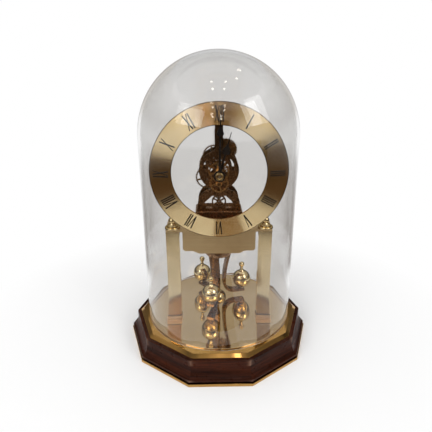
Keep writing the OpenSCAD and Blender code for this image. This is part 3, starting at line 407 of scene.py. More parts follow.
grain, add, given, result = shader_group(
    "wood grain", [("Place", "v"), ("Dark", "c"), ("Light", "c")], [("Colour", "c"), ("Height", "f")])
drawn = add("Mapping", {"Vector": given["Place"], "Scale": (22, 420, 1)})
drift = noise(add, drawn, 0.35, 3.0)
figure = noise(add, drawn, 1.0, 5.0, roughness=0.65, distortion=0.9)
pores = add("Mapping", {"Vector": given["Place"], "Scale": (160, 3600, 1)})
pores = noise(add, pores, 1.0, 2.0)
pores = fade(add, pores, 0.60, 0.70)
mixed = fade(add, worked(add, "MULTIPLY", drift, figure), 0.12, 0.40)
wood_tone = blended(add, mixed, given["Dark"], given["Light"])
plug(result, {"Colour": blended(add, pores, wood_tone, given["Dark"]),
              "Height": worked(add, "SUBTRACT", 1.0, pores)})

# Lighter arrises: rubbed lacquer together with a painted highlight along each edge
RUBBED_HIGHLIT_WOOD = (0.30, 0.17, 0.115, 1)
ARRIS_WIDTH = 5.0           # a higher power keeps the rubbing and painted highlight nearer to the arris
mahogany, add, shader = blank_material("dark mahogany")
figure = add("Group", {"Place": add("UVMap", uv_map="grain"), "Dark": (0.010, 0.0024, 0.0010, 1),
                       "Light": (0.060, 0.0135, 0.0045, 1)}, node_tree=grain)
rub_and_highlight = worked(add, "POWER", add("Attribute", attribute_name="rub_highlight").outputs["Fac"], ARRIS_WIDTH)
patchy = noise(add, here(add), 130.0, 4.0)
patchy = fade(add, patchy, 0.35, 0.70, 0.0, 0.9)
colour = blended(add, worked(add, "MULTIPLY", rub_and_highlight, patchy), figure.outputs["Colour"], RUBBED_HIGHLIT_WOOD)
dim = fade(add, patchy, 0.0, 0.5, 0.24, 0.40)
relief = add("Bump", {"Height": figure.outputs["Height"], "Distance": 0.00002})
plug(shader, {"Base Color": colour, "Roughness": dim, "Normal": relief,
              "Specular IOR Level": 0.07, "Coat Weight": 0.03, "Coat Roughness": 0.10})
wood = set_down("wood_moulding", moulding, mahogany, "stand", "dark_mahogany", "base_wood")
broken_edge(wood, 0.45, segments=3)


# Brass top plate: a heavy ten-sided plate with a wide polished chamfer, laid on the wood inside the lip.
# The dome stands on it; only its chamfer and a strip of its flat show.
PLATE_TOP, PLATE_EDGE, PLATE_CORNER = 27.0, 86.0, 82.6
PLATE_RIM = 0.5             # upright edge below the chamfer
plate = set_down("top_plate", sided_ring("top_plate", [
    (0, WOOD_TOP, 0, 0), (PLATE_EDGE, WOOD_TOP, 0, 0), (PLATE_EDGE, WOOD_TOP + PLATE_RIM, 0, 1),
    (PLATE_CORNER, PLATE_TOP, 0, 1), (0, PLATE_TOP, 0, 0)]),
    buffed_brass, "stand", "polished_brass", "base_plate")
broken_edge(plate, 0.25)


# Floor disc: a thin disc of pale brass, turned and mirror-polished, that lies on the plate inside the dome.
# It shows the pillars and the pendulum upside down, through faint lathe rings and finger smudges.
FLOOR_TOP, FLOOR_R, FLOOR_ROUND, FLOOR_EDGE, FLOOR_INNER = 27.8, 71.5, 0.3, 0.5, 30.0


def turned(name, outline, steps, at=(0, 0, 0), axis="Z", closed=False, crisp=32):
    """A turned piece from an outline of (radius, distance along the axis) in mm; closed joins its ends.
    Its map runs once round in u and up the outline in metres in v."""
    mesh = bpy.data.meshes.new(name)
    bm = bmesh.new()
    lathe = bm.loops.layers.uv.new("lathe")
    rows = []
    for r, h in outline:
        row = []
        for i in range(1 if r < 1e-6 else steps):
            a = 2 * math.pi * i / steps
            x, y = r * math.cos(a), r * math.sin(a)
            p = Vector((x, y, h)) if axis == "Z" else Vector((x, -h, y))
            row.append(bm.verts.new((p + Vector(at)) * MM))
        rows.append(row)
    ends = outline[1:] + (outline[:1] if closed else [])
    climb = climbed(outline, ends)
    for j in range(len(ends)):
        low, high = rows[j], rows[(j + 1) % len(rows)]
        for i in range(steps):
            n = (i + 1) % steps
            corners = []
            for row, k, u, v in ((low, i, i, j), (low, n, i + 1, j),
                                 (high, n, i + 1, j + 1), (high, i, i, j + 1)):
                vert = row[k if len(row) > 1 else 0]
                if all(vert is not c[0] for c in corners):
                    corners.append((vert, u / steps, climb[v]))
            if len(corners) > 2:
                face = bm.faces.new([c[0] for c in corners])
                for loop, (_, u, v) in zip(face.loops, corners):
                    loop[lathe].uv = (u, v)
    return filled(mesh, bm, crisp)


def arc(r, h, radius, start, stop, count):
    """Points of an arc in an outline, from start to stop in degrees, about (r, h)."""
    return [(r + radius * math.cos(t), h + radius * math.sin(t))
            for t in (math.radians(start + (stop - start) * k / count) for k in range(count + 1))]


mirror_brass = metal("mirror brass", (0.86, 0.68, 0.41), (0.68, 0.51, 0.29), patch=26, dulling=0.5,
                     gloss=0.03, smudge=0.06, lines=(0.6, 2600, 1), contrast=0.05, uv="lathe", bump=0.0000004)
set_down("floor_disc_top", turned("floor_disc_top", [
    (0, PLATE_TOP), (FLOOR_R, PLATE_TOP),
    *arc(FLOOR_R - FLOOR_ROUND, FLOOR_TOP - FLOOR_ROUND, FLOOR_ROUND, 0, 90, 3),
    (FLOOR_R - FLOOR_EDGE, FLOOR_TOP), (FLOOR_INNER, FLOOR_TOP), (0, FLOOR_TOP)], steps=160),
    mirror_brass, "stand", "polished_brass", "floor_disc")


# Guide cup: a small turned brass dome under the pendulum. Its hole keeps the end of the rod in the middle,
# so that the clock can be carried.
PENDULUM_Y = 20.0
CUP_R, CUP_H, CUP_HOLE_R, CUP_ARC, CUP_STEPS = 9.0, 8.0, 1.7, 78.0, 12
cup_side = [(CUP_R * math.cos(t), FLOOR_TOP + CUP_H * math.sin(t) / math.sin(math.radians(CUP_ARC)))
            for t in (math.radians(CUP_ARC * k / CUP_STEPS) for k in range(CUP_STEPS + 1))]
polished_brass = metal("polished brass", (0.85, 0.68, 0.38), (0.56, 0.37, 0.14), patch=70, dulling=0.45,
                       gloss=0.08, smudge=0.10, bump=0.0000008, Specular_Tint=(0.30, 0.26, 0.16, 1))
set_down("rod_guide_cup", turned("rod_guide_cup", [
    (CUP_HOLE_R, FLOOR_TOP), *cup_side, (CUP_HOLE_R, FLOOR_TOP + CUP_H)],
    steps=64, at=(0, PENDULUM_Y, 0), closed=True),
    polished_brass, "stand", "polished_brass", "guide_cup")


# Pillars: two flat bars of satin brass on stepped brass plinths, each held from below by a long screw.
# They are brushed along their length and lacquered; the plinths are duller, with painted shade along
# the top where the bar stands.
PLINTH_STEP, PLINTH_SHADE = (0.0318, 0.0324), 0.25        # m up to where a plinth darkens, and to what share
satin_brass = metal("satin brass", (0.73, 0.58, 0.34), (0.54, 0.40, 0.20), patch=30, dulling=0.45, gloss=0.12,
                    smudge=0.06, lines=(1700, 1700, 9), contrast=0.14, bump=0.0000012)
plinth_brass = metal("plinth brass", (0.73, 0.51, 0.32), (0.52, 0.34, 0.20), patch=90, dulling=0.4,
                     gloss=0.36, smudge=0.1, bump=0.0000012)


def darkened_above(material, low, high, share):
    """Darkens a metal from one height to another, in m, down to a share of its tone."""
    add = node_adder(material.node_tree)
    shader = material.node_tree.nodes["Principled BSDF"]
    height = add("SeparateXYZ", {0: here(add)}).outputs[2]
    tone = shader.inputs["Base Color"].links[0].from_socket
    shade = fade(add, height, low, high, 1.0, share)
    plug(shader, {"Base Color": blended(add, 1.0, tone, shade, blend_type="MULTIPLY")})


# Painted shade along the top of each plinth, where the bar stands
darkened_above(plinth_brass, *PLINTH_STEP, PLINTH_SHADE)
for side in ("left", "right"):
    dressed("pillar_bar_" + side, "pillar_" + side, satin_brass, "stand", "satin_brass", edge=0.35)
    dressed("pillar_plinth_" + side, "plinth_" + side, plinth_brass, "stand", "polished_brass", edge=0.25)
dressed("pillar_bolts", "pillar_screws", ground_steel, "stand", "steel", edge=0.15)


# Platform and apron: a brass shelf across both pillars carries the movement, and a thin satin plate with
# a shallow lobe hangs in front of it. The apron is left bare.
cross_satin = metal("cross-brushed satin brass", (0.78, 0.59, 0.33), (0.58, 0.41, 0.20), patch=34,
                    dulling=0.5, gloss=0.36, smudge=0.1, lines=(9, 1500, 1500), contrast=0.15, bump=0.000005)
dressed("shelf", "platform", cross_satin, "stand", "satin_brass", edge=0.35)
dressed("apron", "apron_plate", cross_satin, "stand", "satin_brass", edge=0.25)


# Finials: turned brass knobs with stepped discs and a ball. Their threads go down through the shelf
# into the pillars and clamp both together.
SHELF_TOP = 129.0
PILLAR_X, PILLAR_Y = 45.8, -17.0
KNOB_Z, KNOB_R = 8.38, 3.4
THREAD_R, THREAD_LOW = 1.45, -9.5
finial_outline = [
    (0, THREAD_LOW), (THREAD_R, THREAD_LOW), (THREAD_R, 0), (6.9, 0), *arc(6.9, 0.5, 0.5, -90, 0, 3),
    *arc(6.6, 1.4, 0.8, 0, 90, 4),
    (5.33, 2.2), *arc(4.83, 3.3, 0.5, 0, 90, 3), (3.7, 3.8), (3.2, 4.4), (2.45, 5.2), (2.04, 6.0),
    *arc(0, KNOB_Z, KNOB_R, -44, 90, 16)[:-1], (0, KNOB_Z + KNOB_R)]
for side, x in (("left", -PILLAR_X), ("right", PILLAR_X)):
    name = "turned_finial_" + side
    set_down(name, turned(name, finial_outline, 64, (x, PILLAR_Y, SHELF_TOP)),
             polished_brass, "stand", "polished_brass", "finial_" + side)


# Movement frame: a dark block on the shelf and two skeleton plates of antiqued brass, with four posts
# between them that are riveted over. From the foot of the narrow neck behind the hands upward, everything
# in antique bronze takes painted shade.
NECK, NECK_SHADE = (0.188, 0.212), 0.4                    # m up to where the plates darken, and to what share
dark_bronze = metal("antique bronze", (0.45, 0.26, 0.14), (0.035, 0.019, 0.012), patch=260, dulling=1.0,
                    gloss=0.22, smudge=0.3, bump=0.000008)
# Painted shade on the neck and on all antique bronze above its foot
darkened_above(dark_bronze, *NECK, NECK_SHADE)
dressed("movement_block", "movement_base", dark_bronze, "stand", "dark_bronze", edge=0.5)
for side in ("front", "back"):
    dressed("skeleton_plate_" + side, side + "_plate", dark_bronze, "stand", "dark_bronze", edge=0.18)
wheel_brass = metal("aged wheel brass", (0.50, 0.32, 0.15), (0.11, 0.06, 0.028), patch=300, dulling=0.8,
                    gloss=0.24, smudge=0.2, bump=0.000002)
lit_front_brass = metal("lit front wheel brass", (0.95, 0.62, 0.28), (0.30, 0.16, 0.07), patch=300, dulling=0.6,
                     gloss=0.20, smudge=0.2, bump=0.000002)
for node in ("movement_posts", "minute_stud", "dial_feet"):
    dressed(node + "_turned", node, wheel_brass, "stand", "wheel_brass", edge=0.08)


# Going train: the barrel with its great wheel, then the intermediate, centre, third and escape wheels.
# The wheels are cut brass with crossed-out spokes and the arbors and pinions are ground steel.
for node, body in (("barrel_drum", "barrel"), ("great_wheel", "barrel"),
                   ("intermediate_wheel", "intermediate"), ("centre_wheel", "centre"),
                   ("third_wheel", "third"), ("escape_wheel", "escape"),
                   ("minute_wheel", "motion"), ("hour_wheel", "hour")):
    # Painted light: the wheels in front of the plate take a lighter copy of the brass than those in shade
    # between the plates
    in_front = node in ("minute_wheel", "hour_wheel", "centre_wheel")
    dressed(node + "_cut", node, lit_front_brass if in_front else wheel_brass, body, "wheel_brass", edge=0.06)
for node, body in (("barrel_arbor", "winding"), ("ratchet_wheel", "winding"), ("click", "click"),
                   ("intermediate_arbor", "intermediate"), ("centre_arbor", "centre"),
                   ("cannon_pinion", "centre"), ("third_arbor", "third"), ("escape_arbor", "escape"),
                   ("anchor", "anchor"), ("crutch", "anchor")):
    dressed(node + "_ground", node, ground_steel, body, "steel", edge=0.06)


# Dial: a conical ring spun from brass sheet, brushed round and round, with a thin line of painted shade at
# the rim and at the upper half of the hole.
# Three feet hold it to the movement.
DIAL_Z = 186.4
DIAL_R, DIAL_HOLE = 64.2, 43.9
DIAL_OUT, DIAL_IN, DIAL_T = -23.9, -27.4, 1.2
RIM_LINE, HOLE_LINE = (0.9, 0.5), (0.4, 0.8)              # mm in from the rim and out from the hole
HOLE_LINE_FADE = (-0.01, 0.01)                            # m up the dial over which the hole's line comes in
EDGE_SHADE_TONE = (0.16, 0.10, 0.045, 1)
HOLE_EDGE, RIM_EDGE = ((0, 0.35), (0.12, 0.12)), ((0.12, 0.06), (0, 0.3))   # mm across the face, mm behind it
FACE_RINGS, FACE_MIDDLE = (0.4, 0.6), 54.0                # mm in from both edges, and the radius between
dial_brass = metal("spun dial brass", (0.95, 0.75, 0.42), (0.80, 0.56, 0.26), patch=24, dulling=0.35,
                   gloss=0.18, smudge=0.05, lines=(1.2, 5200, 1), contrast=0.10, uv="lathe", bump=0.0000012,
                   Anisotropic=0.92, Anisotropic_Rotation=0.25)
add = node_adder(dial_brass.node_tree)
shader = dial_brass.node_tree.nodes["Principled BSDF"]
plug(shader, {"Tangent": add("Tangent", direction_type="UV_MAP", uv_map="lathe")})
from_middle = add("Mapping", {"Vector": here(add), "Location": (0, 0, -DIAL_Z * MM), "Scale": (1, 0, 1)})
radius = add("VectorMath", {0: from_middle}, operation="LENGTH").outputs["Value"]
# Painted shade: a thin dark line inside the rim all round, and outside the hole on its upper half only
rim = fade(add, radius, (DIAL_R - RIM_LINE[0]) * MM, (DIAL_R - RIM_LINE[1]) * MM)
hole = fade(add, radius, (DIAL_HOLE + HOLE_LINE[0]) * MM, (DIAL_HOLE + HOLE_LINE[1]) * MM, 1.0, 0.0)
upper = fade(add, add("SeparateXYZ", {0: from_middle}).outputs[2], *HOLE_LINE_FADE)
edges = worked(add, "MAXIMUM", rim, worked(add, "MULTIPLY", hole, upper))
plug(shader, {"Base Color": blended(add, edges, shader.inputs["Base Color"].links[0].from_socket, EDGE_SHADE_TONE)})


def dial_face(r):
    """How far the dial's front stands out at a radius."""
    return -DIAL_OUT + (DIAL_OUT - DIAL_IN) * (DIAL_R - r) / (DIAL_R - DIAL_HOLE)


dial_outline = [
    (DIAL_HOLE, dial_face(DIAL_HOLE) - DIAL_T),
    *[(DIAL_HOLE + across, dial_face(DIAL_HOLE) - behind) for across, behind in HOLE_EDGE],
    *[(r, dial_face(r)) for r in (*[DIAL_HOLE + d for d in FACE_RINGS], FACE_MIDDLE,
                                  *[DIAL_R - d for d in reversed(FACE_RINGS)])],
    *[(DIAL_R - across, dial_face(DIAL_R) - behind) for across, behind in RIM_EDGE],
    (DIAL_R, dial_face(DIAL_R) - DIAL_T)]
set_down("spun_dial", turned("spun_dial", dial_outline, 256, (0, 0, DIAL_Z), "Y", closed=True, crisp=40),
         dial_brass, "stand", "brushed_dial_brass", "dial_ring")


# Numerals and hands: Roman numerals printed in black on the dial, and two spade hands stamped from sheet
# and painted black. A small brass nut with an open middle holds them.
def paint(name, tone, roughness):
    """Thin black paint with a little dust and orange peel."""
    material, add, shader = blank_material(name)
    dust = noise(add, here(add), 900.0, 4.0)
    dusty = (*[t * 3 + 0.01 for t in tone], 1)
    colour = blended(add, fade(add, dust, 0.5, 0.8, 0.0, 0.6), (*tone, 1), dusty)
    gloss = fade(add, dust, 0.0, 1.0, roughness - 0.1, roughness + 0.15)
    peel = add("Bump", {"Height": dust, "Distance": 0.000008})
    plug(shader, {"Base Color": colour, "Roughness": gloss, "Normal": peel, "Specular IOR Level": 0.12})
    return material


black_print = paint("black print", (0.005, 0.004, 0.0035), 0.45)
black_paint = paint("black hand paint", (0.008, 0.007, 0.007), 0.3)
dressed("printed_numerals", "dial_numerals", black_print, "stand", "black_paint")
for hand, body in (("hour", "hour"), ("minute", "centre")):
    dressed(hand + "_spade_hand", hand + "_hand", black_paint, body, "black_paint", edge=0.1)
dressed("brass_hand_nut", "hand_nut", polished_brass, "centre", "polished_brass", edge=0.12)


# Suspension: a bracket on the back plate with a slotted top block, from which a thin steel strip hangs.
# The fork on the strip takes its push from the crutch.
for node, body in (("suspension_bracket", "stand"), ("suspension_block", "stand"),
                   ("suspension_fork", "fork")):
    dressed(node + "_filed", node, dark_bronze, body, "wheel_brass", edge=0.12)
for node, body in (("strip_upper", "stand"), ("strip_lower", "pendulum")):
    dressed(node + "_blued", node, ground_steel, body, "steel")


# Pendulum: three curved blades of antiqued brass hang from a dark crown, each with a turned brass ball and
# finial on its foot. A rod down the middle ends in the guide cup.
dressed("crown_disc", "pendulum_crown", dark_bronze, "pendulum", "dark_bronze", edge=0.3)
dressed("guide_rod", "pendulum_rod", wheel_brass, "pendulum", "wheel_brass", edge=0.2)
blade_bronze = metal("antiqued blade bronze", (0.30, 0.17, 0.085), (0.12, 0.06, 0.032), patch=70, dulling=0.8,
                     gloss=0.22, smudge=0.2, bump=0.000003)
BALL_RING, BALL_Z, BALL_R = 27.6, 48.5, 10.2
BLADE_LOW, BLADE_HALF, FIRST_BLADE = 35.0, 1.4, 12.3      # foot's height and half thickness, turn in degrees
BLADES = 3
BUTTON_Z, BUTTON_R = BALL_Z + 17.7, 3.1
ball_outline = [
    (0, BLADE_LOW - BLADE_HALF), (1.45, BLADE_LOW - BLADE_HALF), (1.45, BLADE_LOW + BLADE_HALF),
    (2.7, BLADE_LOW + BLADE_HALF),
    *arc(2.7, BLADE_LOW + 1.7, 0.3, -90, 0, 2), (2.6, BALL_Z - 9.9), *arc(0, BALL_Z, BALL_R, -74, 69, 40),
    (3.3, BALL_Z + 10.0), (2.6, BALL_Z + 10.6), (1.95, BALL_Z + 11.8),
    (1.7, BALL_Z + 13.4), (1.7, BALL_Z + 15.0),
    *arc(0, BUTTON_Z, BUTTON_R, -57, 90, 16)[:-1], (0, BUTTON_Z + BUTTON_R)]
for i in range(1, BLADES + 1):
    a = math.radians(FIRST_BLADE + 360 / BLADES * (i - 1))
    foot_at = (BALL_RING * math.cos(a), PENDULUM_Y + BALL_RING * math.sin(a), 0)
    dressed("curved_blade_%d" % i, "arm_%d" % i, blade_bronze, "pendulum", "dark_bronze", edge=0.45)
    set_down("turned_ball_%d" % i, turned("turned_ball_%d" % i, ball_outline, 96, foot_at), polished_brass,
             "pendulum", "polished_brass", "ball_%d" % i)


# Regulating nut: a knurled brass nut on the crown's boss that sets the rate of the clock.
# Its rim is a row of fine upright ridges.
NUT_LOW, NUT_H, NUT_CORE_R, NUT_CHAMFER, BOSS_R = 86.7, 3.4, 5.7, 0.3, 2.45
knurl, add, given, result = geometry_tree("knurled rim", [
    ("Ridges", "Int", 48), ("Ring radius", "Float", 0.0057), ("Ridge radius", "Float", 0.0003),
    ("Ridge height", "Float", 0.003), ("Place", "Vector", None), ("Finish", "Material", None)])
spots = add("GeometryNodeMeshCircle", {"Vertices": given["Ridges"], "Radius": given["Ring radius"]})
ridge = add("GeometryNodeMeshCylinder", {"Vertices": 8, "Radius": given["Ridge radius"],
                                         "Depth": given["Ridge height"]})
rim = add("GeometryNodeInstanceOnPoints", {"Points": spots, "Instance": ridge})
rim_at = add("GeometryNodeTransform", {"Geometry": rim, "Translation": given["Place"]})
both = add("GeometryNodeJoinGeometry", {0: given["Geometry"]})
plug(both, {0: rim_at})
real = add("GeometryNodeRealizeInstances", {0: both})
coated = add("GeometryNodeSetMaterial", {"Geometry": real, "Material": given["Finish"]})
plug(result, {0: coated})
nut_core = turned("nut_core", [
    (BOSS_R, NUT_LOW), (NUT_CORE_R - NUT_CHAMFER, NUT_LOW), (NUT_CORE_R, NUT_LOW + NUT_CHAMFER),
    (NUT_CORE_R, NUT_LOW + NUT_H - NUT_CHAMFER), (NUT_CORE_R - NUT_CHAMFER, NUT_LOW + NUT_H),
    (BOSS_R, NUT_LOW + NUT_H)], 64, (0, PENDULUM_Y, 0), closed=True)
nut_mesh = grown("knurled_rate_nut", nut_core, knurl, {
    "Ridge height": (NUT_H - 2 * NUT_CHAMFER) * MM, "Place": (0, PENDULUM_Y * MM, (NUT_LOW + NUT_H / 2) * MM),
    "Finish": polished_brass})
smooth_but(nut_mesh, 50)
set_down("knurled_rate_nut", nut_mesh, polished_brass, "regulator", "polished_brass", "regulating_nut")


# Glass dome: one blown and moulded glass, with a straight wall, a round crown and a fire-polished rim.
# It stands on the brass plate round the floor disc and lifts straight off.
DOME_R, DOME_WALL, DOME_SHOULDER = 76.0, 2.5, 217.2
DOME_RINGS = (78.0, 113.0, 148.0, 183.0)                  # heights of the rings in the straight wall
mid = DOME_R - DOME_WALL / 2
dome_outline = [
    *arc(mid, PLATE_TOP + DOME_WALL / 2, DOME_WALL / 2, -180, 0, 10), *[(DOME_R, z) for z in DOME_RINGS],
    *arc(0, DOME_SHOULDER, DOME_R, 0, 90, 40)[:-1], (0, DOME_SHOULDER + DOME_R)]
inner = [(0, DOME_SHOULDER + DOME_R - DOME_WALL), *arc(0, DOME_SHOULDER, DOME_R - DOME_WALL, 90, 0, 40)[1:],
         *[(DOME_R - DOME_WALL, z) for z in reversed(DOME_RINGS)],
         (DOME_R - DOME_WALL, PLATE_TOP + DOME_WALL / 2)]
outside = turned("dome_outside", dome_outline, 192)
inside = turned("dome_inside", inner, 192)
bm = bmesh.new()
bm.from_mesh(outside)
bm.from_mesh(inside)
bmesh.ops.remove_doubles(bm, verts=bm.verts, dist=2 * MERGE)
glass_mesh = filled(bpy.data.meshes.new("glass_dome_blown"), bm, 60)
for half in (outside, inside):
    bpy.data.meshes.remove(half)

glass, add, shader = blank_material("dome glass")
place = here(add)
haze = noise(add, place, 38.0, 4.0, roughness=0.6)
film = fade(add, haze, 0.5, 0.85, 0.0, 0.05)
tint = blended(add, film, (0.815, 0.808, 0.80, 1), (0.765, 0.757, 0.75, 1))
drawn = add("Mapping", {"Vector": place, "Scale": (14, 14, 5)})
ripple = noise(add, drawn, 1.0, 1.0)
wave = add("Bump", {"Height": ripple, "Distance": 0.00025})
plug(shader, {"Base Color": tint, "Roughness": film, "Normal": wave, "Transmission Weight": 1.0, "IOR": 1.45})
clear = add("BsdfTransparent", {"Color": (0.93, 0.93, 0.93, 1)})
path = add("LightPath").outputs
soft = worked(add, "MAXIMUM", path["Is Shadow Ray"], path["Is Diffuse Ray"])
soft = worked(add, "MAXIMUM", soft, path["Is Reflection Ray"])
through = add("MixShader", {0: soft, 1: shader, 2: clear})
plug(glass.node_tree.nodes["Material Output"], {"Surface": through})
set_down("glass_dome_blown", glass_mesh, glass, "dome", "clear_glass", "glass_dome")


# Studio: a plain pale floor, three soft lamps, and cards and felts that only reflections show.
# They stand out of the picture and give the brass its dark streaks and its sparks.
FLOOR_HALF = 4.0
FLOOR_FADE = (0.10, 0.30)   # m from the clock over which its shadow fades to white
WHITE = (1, 1, 1, 1)


def in_plain_sight(add):
    """1 for the camera and for what metal and glass show, 0 for soft light."""
    path = add("LightPath").outputs
    seen = worked(add, "MAXIMUM", path["Is Camera Ray"], path["Is Glossy Ray"])
    return worked(add, "MAXIMUM", seen, path["Is Transmission Ray"])


floor_mesh = bpy.data.meshes.new("studio_floor")
floor_mesh.from_pydata([(x * FLOOR_HALF, y * FLOOR_HALF, 0) for x, y in ((-1, -1), (1, -1), (1, 1), (-1, 1))],
                       [], [(0, 1, 2, 3)])
pale, add, shader = blank_material("pale floor")
plug(shader, {"Base Color": (0.96, 0.96, 0.96, 1), "Roughness": 0.9, "Specular IOR Level": 0.0})
far = add("VectorMath", {0: here(add)}, operation="LENGTH").outputs["Value"]
seen = worked(add, "MULTIPLY", in_plain_sight(add), fade(add, far, *FLOOR_FADE))
swept = add("MixShader", {0: seen, 1: shader, 2: add("Emission", {"Color": WHITE})})
plug(pale.node_tree.nodes["Material Output"], {"Surface": swept})
floor_mesh.materials.append(pale)
floor = placed("studio_floor", floor_mesh)


def hung(name, mesh, felt):
    """Hangs a card or curtain on the stage, hidden from the camera and from soft light."""
    mesh.materials.append(felt)
    obj = placed(name, mesh)
    obj.visible_camera = obj.visible_diffuse = obj.visible_transmission = obj.visible_shadow = False


# A ray counts its turns: 1 after the dome or base, 2 inside the glass, 3 or more after the metal in it
AFTER_FIRST, AFTER_GLASS = 1.5, 2.5


def turned_past(add, count):
    """1 for rays that have turned more often than this."""
    return worked(add, "GREATER_THAN", add("LightPath").outputs["Ray Depth"], count)


def card(name, corners, tone, to_glass=1.0):
    """A flat card seen in reflections only; to_glass dims it for the dome, not for the metal inside."""
    mesh = bpy.data.meshes.new(name)
    mesh.from_pydata([Vector(c) * MM for c in corners], [], [(0, 1, 2, 3)])
    felt, add, shader = blank_material(name)
    plug(shader, {"Base Color": (0, 0, 0, 1), "Specular IOR Level": 0.0, "Emission Color": (*tone, 1),
                  "Emission Strength": 1.0})
    if to_glass < 1:
        plug(shader, {"Emission Strength": fade(add, turned_past(add, AFTER_GLASS), 0, 1, to_glass)})
    hung(name, mesh, felt)


def standing(x0, x1, y, z0, z1):
    """Corners of a card that stands across the front, in mm."""
    return [(x0, y, z0), (x1, y, z0), (x1, y, z1), (x0, y, z1)]


def level(x0, x1, y0, y1, z=1):
    """Corners of a card that lies level, in mm."""
    return [(x0, y0, z), (x1, y0, z), (x1, y1, z), (x0, y1, z)]


BROWN, COPPER, GOLD = (0.075, 0.046, 0.02), (0.62, 0.33, 0.14), (0.95, 0.70, 0.40)
DEEP_BROWN, TAN, OCHRE = (0.20, 0.12, 0.065), (0.42, 0.31, 0.21), (0.30, 0.18, 0.07)
TOP_TO_GLASS, CEILING_TO_GLASS = 0.15, 0.55
card("card_left", standing(-640, -90, -480, 0, 120), BROWN)
card("card_right", standing(80, 660, -480, 0, 230), BROWN)
card("card_middle_low", level(-8, 62, -260, -130), OCHRE)
card("card_front_low", standing(-230, 260, -1290, 0, 250), BROWN)
for name, left, right, tone in (("copper", -200, -90, COPPER), ("gold", -90, -54, GOLD),
                                ("brown", -54, 180, DEEP_BROWN), ("tan", 180, 300, TAN)):
    card("card_top_" + name, standing(left, right, -1300, 250, 900), tone, TOP_TO_GLASS)
card("ceiling", level(-1900, 1900, -1900, 1900, 2290), WHITE[:3], CEILING_TO_GLASS)

# Small bulbs, each a bright square that faces the dial from (turn, rise) in degrees
BULB_HALF, BULB_FAR, BULB_TONE = 28, 1250, (14, 13, 11.5)
lit_place = Vector((0, -65, 250))
for k, way in enumerate(((-22, 70), (18, 70), (92, 72), (-12, 45), (7, 41), (-11, 32), (2, 30))):
    turn, rise = (math.radians(d) for d in way)
    aim = Vector((math.sin(turn) * math.cos(rise), -math.cos(turn) * math.cos(rise), math.sin(rise)))
    across = aim.cross(Vector((0.3, 0.8, 0.5))).normalized() * BULB_HALF
    over = aim.cross(across)
    spot = lit_place + aim * BULB_FAR
    card(f"bulb_{k + 1}", [spot - across - over, spot + across - over,
                           spot + across + over, spot - across + over], BULB_TONE)


def strip_round(name, first_circle, last_circle, first, last, steps):
    """A strip between two circles of (radius, height) in mm, between two turns in degrees from the front."""
    around = [math.radians(first + (last - first) * k / steps) for k in range(steps + 1)]
    mesh = bpy.data.meshes.new(name)
    mesh.from_pydata([(r * MM * math.sin(a), -r * MM * math.cos(a), z * MM)
                      for r, z in (first_circle, last_circle) for a in around], [],
                     [(k, k + 1, k + steps + 2, k + steps + 1) for k in range(steps)])
    return mesh


def turned_from_front(add, at, near, far):
    """1 up to the near angle from the front, falling to 0 at the far angle (radians, both sides alike)."""
    turn = worked(add, "ARCTAN2", worked(add, "ABSOLUTE", at[0]), worked(add, "MULTIPLY", at[1], -1.0))
    return fade(add, turn, near, far, 1.0, 0.0, soft=True)


DARK_FELT, GREY_FELT = (0.10, 0.056, 0.026, 1), (0.36, 0.35, 0.34, 1)
DIM_FELT, DIM_LOW = (0.54, 0.50, 0.45, 1), (0.11, 0.092, 0.058, 1)


def felt_ring(name, low, high, fade_nodes, under_glass):
    """A ring of felt between two circles, brown in front and grey behind; fade_nodes gives how dark it is
    at each place. At the sides, rays that have turned more often than under_glass see a dimmer felt."""
    felt, add, _ = blank_material(name)
    at = add("SeparateXYZ", {0: here(add)}).outputs
    tone = blended(add, fade(add, at[1], 0.15, 0.45), DARK_FELT, GREY_FELT)
    tone = blended(add, fade_nodes(add, at), WHITE, tone)
    dim_low = blended(add, turned_past(add, AFTER_GLASS), WHITE, DIM_LOW)
    dimmed = blended(add, fade(add, at[2], 0.35, 0.8, soft=True), dim_low, DIM_FELT)
    aside = worked(add, "SUBTRACT", 1.0, turned_from_front(add, at, 1.1, 1.7))
    deep = worked(add, "MULTIPLY", turned_past(add, under_glass), aside)
    glow = add("Emission", {"Color": blended(add, deep, tone, dimmed)})
    plug(felt.node_tree.nodes["Material Output"], {"Surface": glow})
    hung(name, strip_round(name, low, high, -180, 180, 60), felt)


def curtain_fade(add, at):
    """The curtain hangs in front and at the sides, between a sloping hem and top, and low at the back."""
    hem = fade(add, at[1], -1.9, -0.4, 1.0, -0.05)
    rise = fade(add, worked(add, "SUBTRACT", at[2], hem), 0.0, 0.7, soft=True)
    top = fade(add, at[1], -1.7, -0.6, 1.4, 0.6)
    top = fade(add, worked(add, "SUBTRACT", at[2], top), 0.0, 0.8, 1.0, 0.0, soft=True)
    front = worked(add, "MULTIPLY", worked(add, "MULTIPLY", rise, top), turned_from_front(add, at, 1.8, 2.3))
    back = worked(add, "SUBTRACT", 1.0, turned_from_front(add, at, 2.5, 2.9))
    back = worked(add, "MULTIPLY", back, fade(add, at[2], 0.5, 1.3, 1.0, 0.0))
    return worked(add, "MAXIMUM", front, back)


def table_fade(add, at):
    """The table is dark all round but for the far corners at the sides and a clear patch under the clock."""
    away = add("VectorMath", {0: here(add)}, operation="LENGTH").outputs["Value"]
    near = fade(add, away, 1.0, 1.9, 1.0, 0.0, soft=True)
    near = worked(add, "MAXIMUM", near, turned_from_front(add, at, 0.6, 1.1))
    front = worked(add, "MULTIPLY", near, turned_from_front(add, at, 1.9, 2.15))
    back = worked(add, "MULTIPLY_ADD", turned_from_front(add, at, 2.6, 2.95), -0.9, 0.9)
    clear = fade(add, away, 0.27, 0.36, soft=True)
    return worked(add, "MULTIPLY", clear, worked(add, "MAXIMUM", front, back))


felt_ring("curtain", (1900, 0), (1900, 2300), curtain_fade, AFTER_FIRST)
felt_ring("dark_table", (260, 1), (1900, 1), table_fade, AFTER_GLASS)


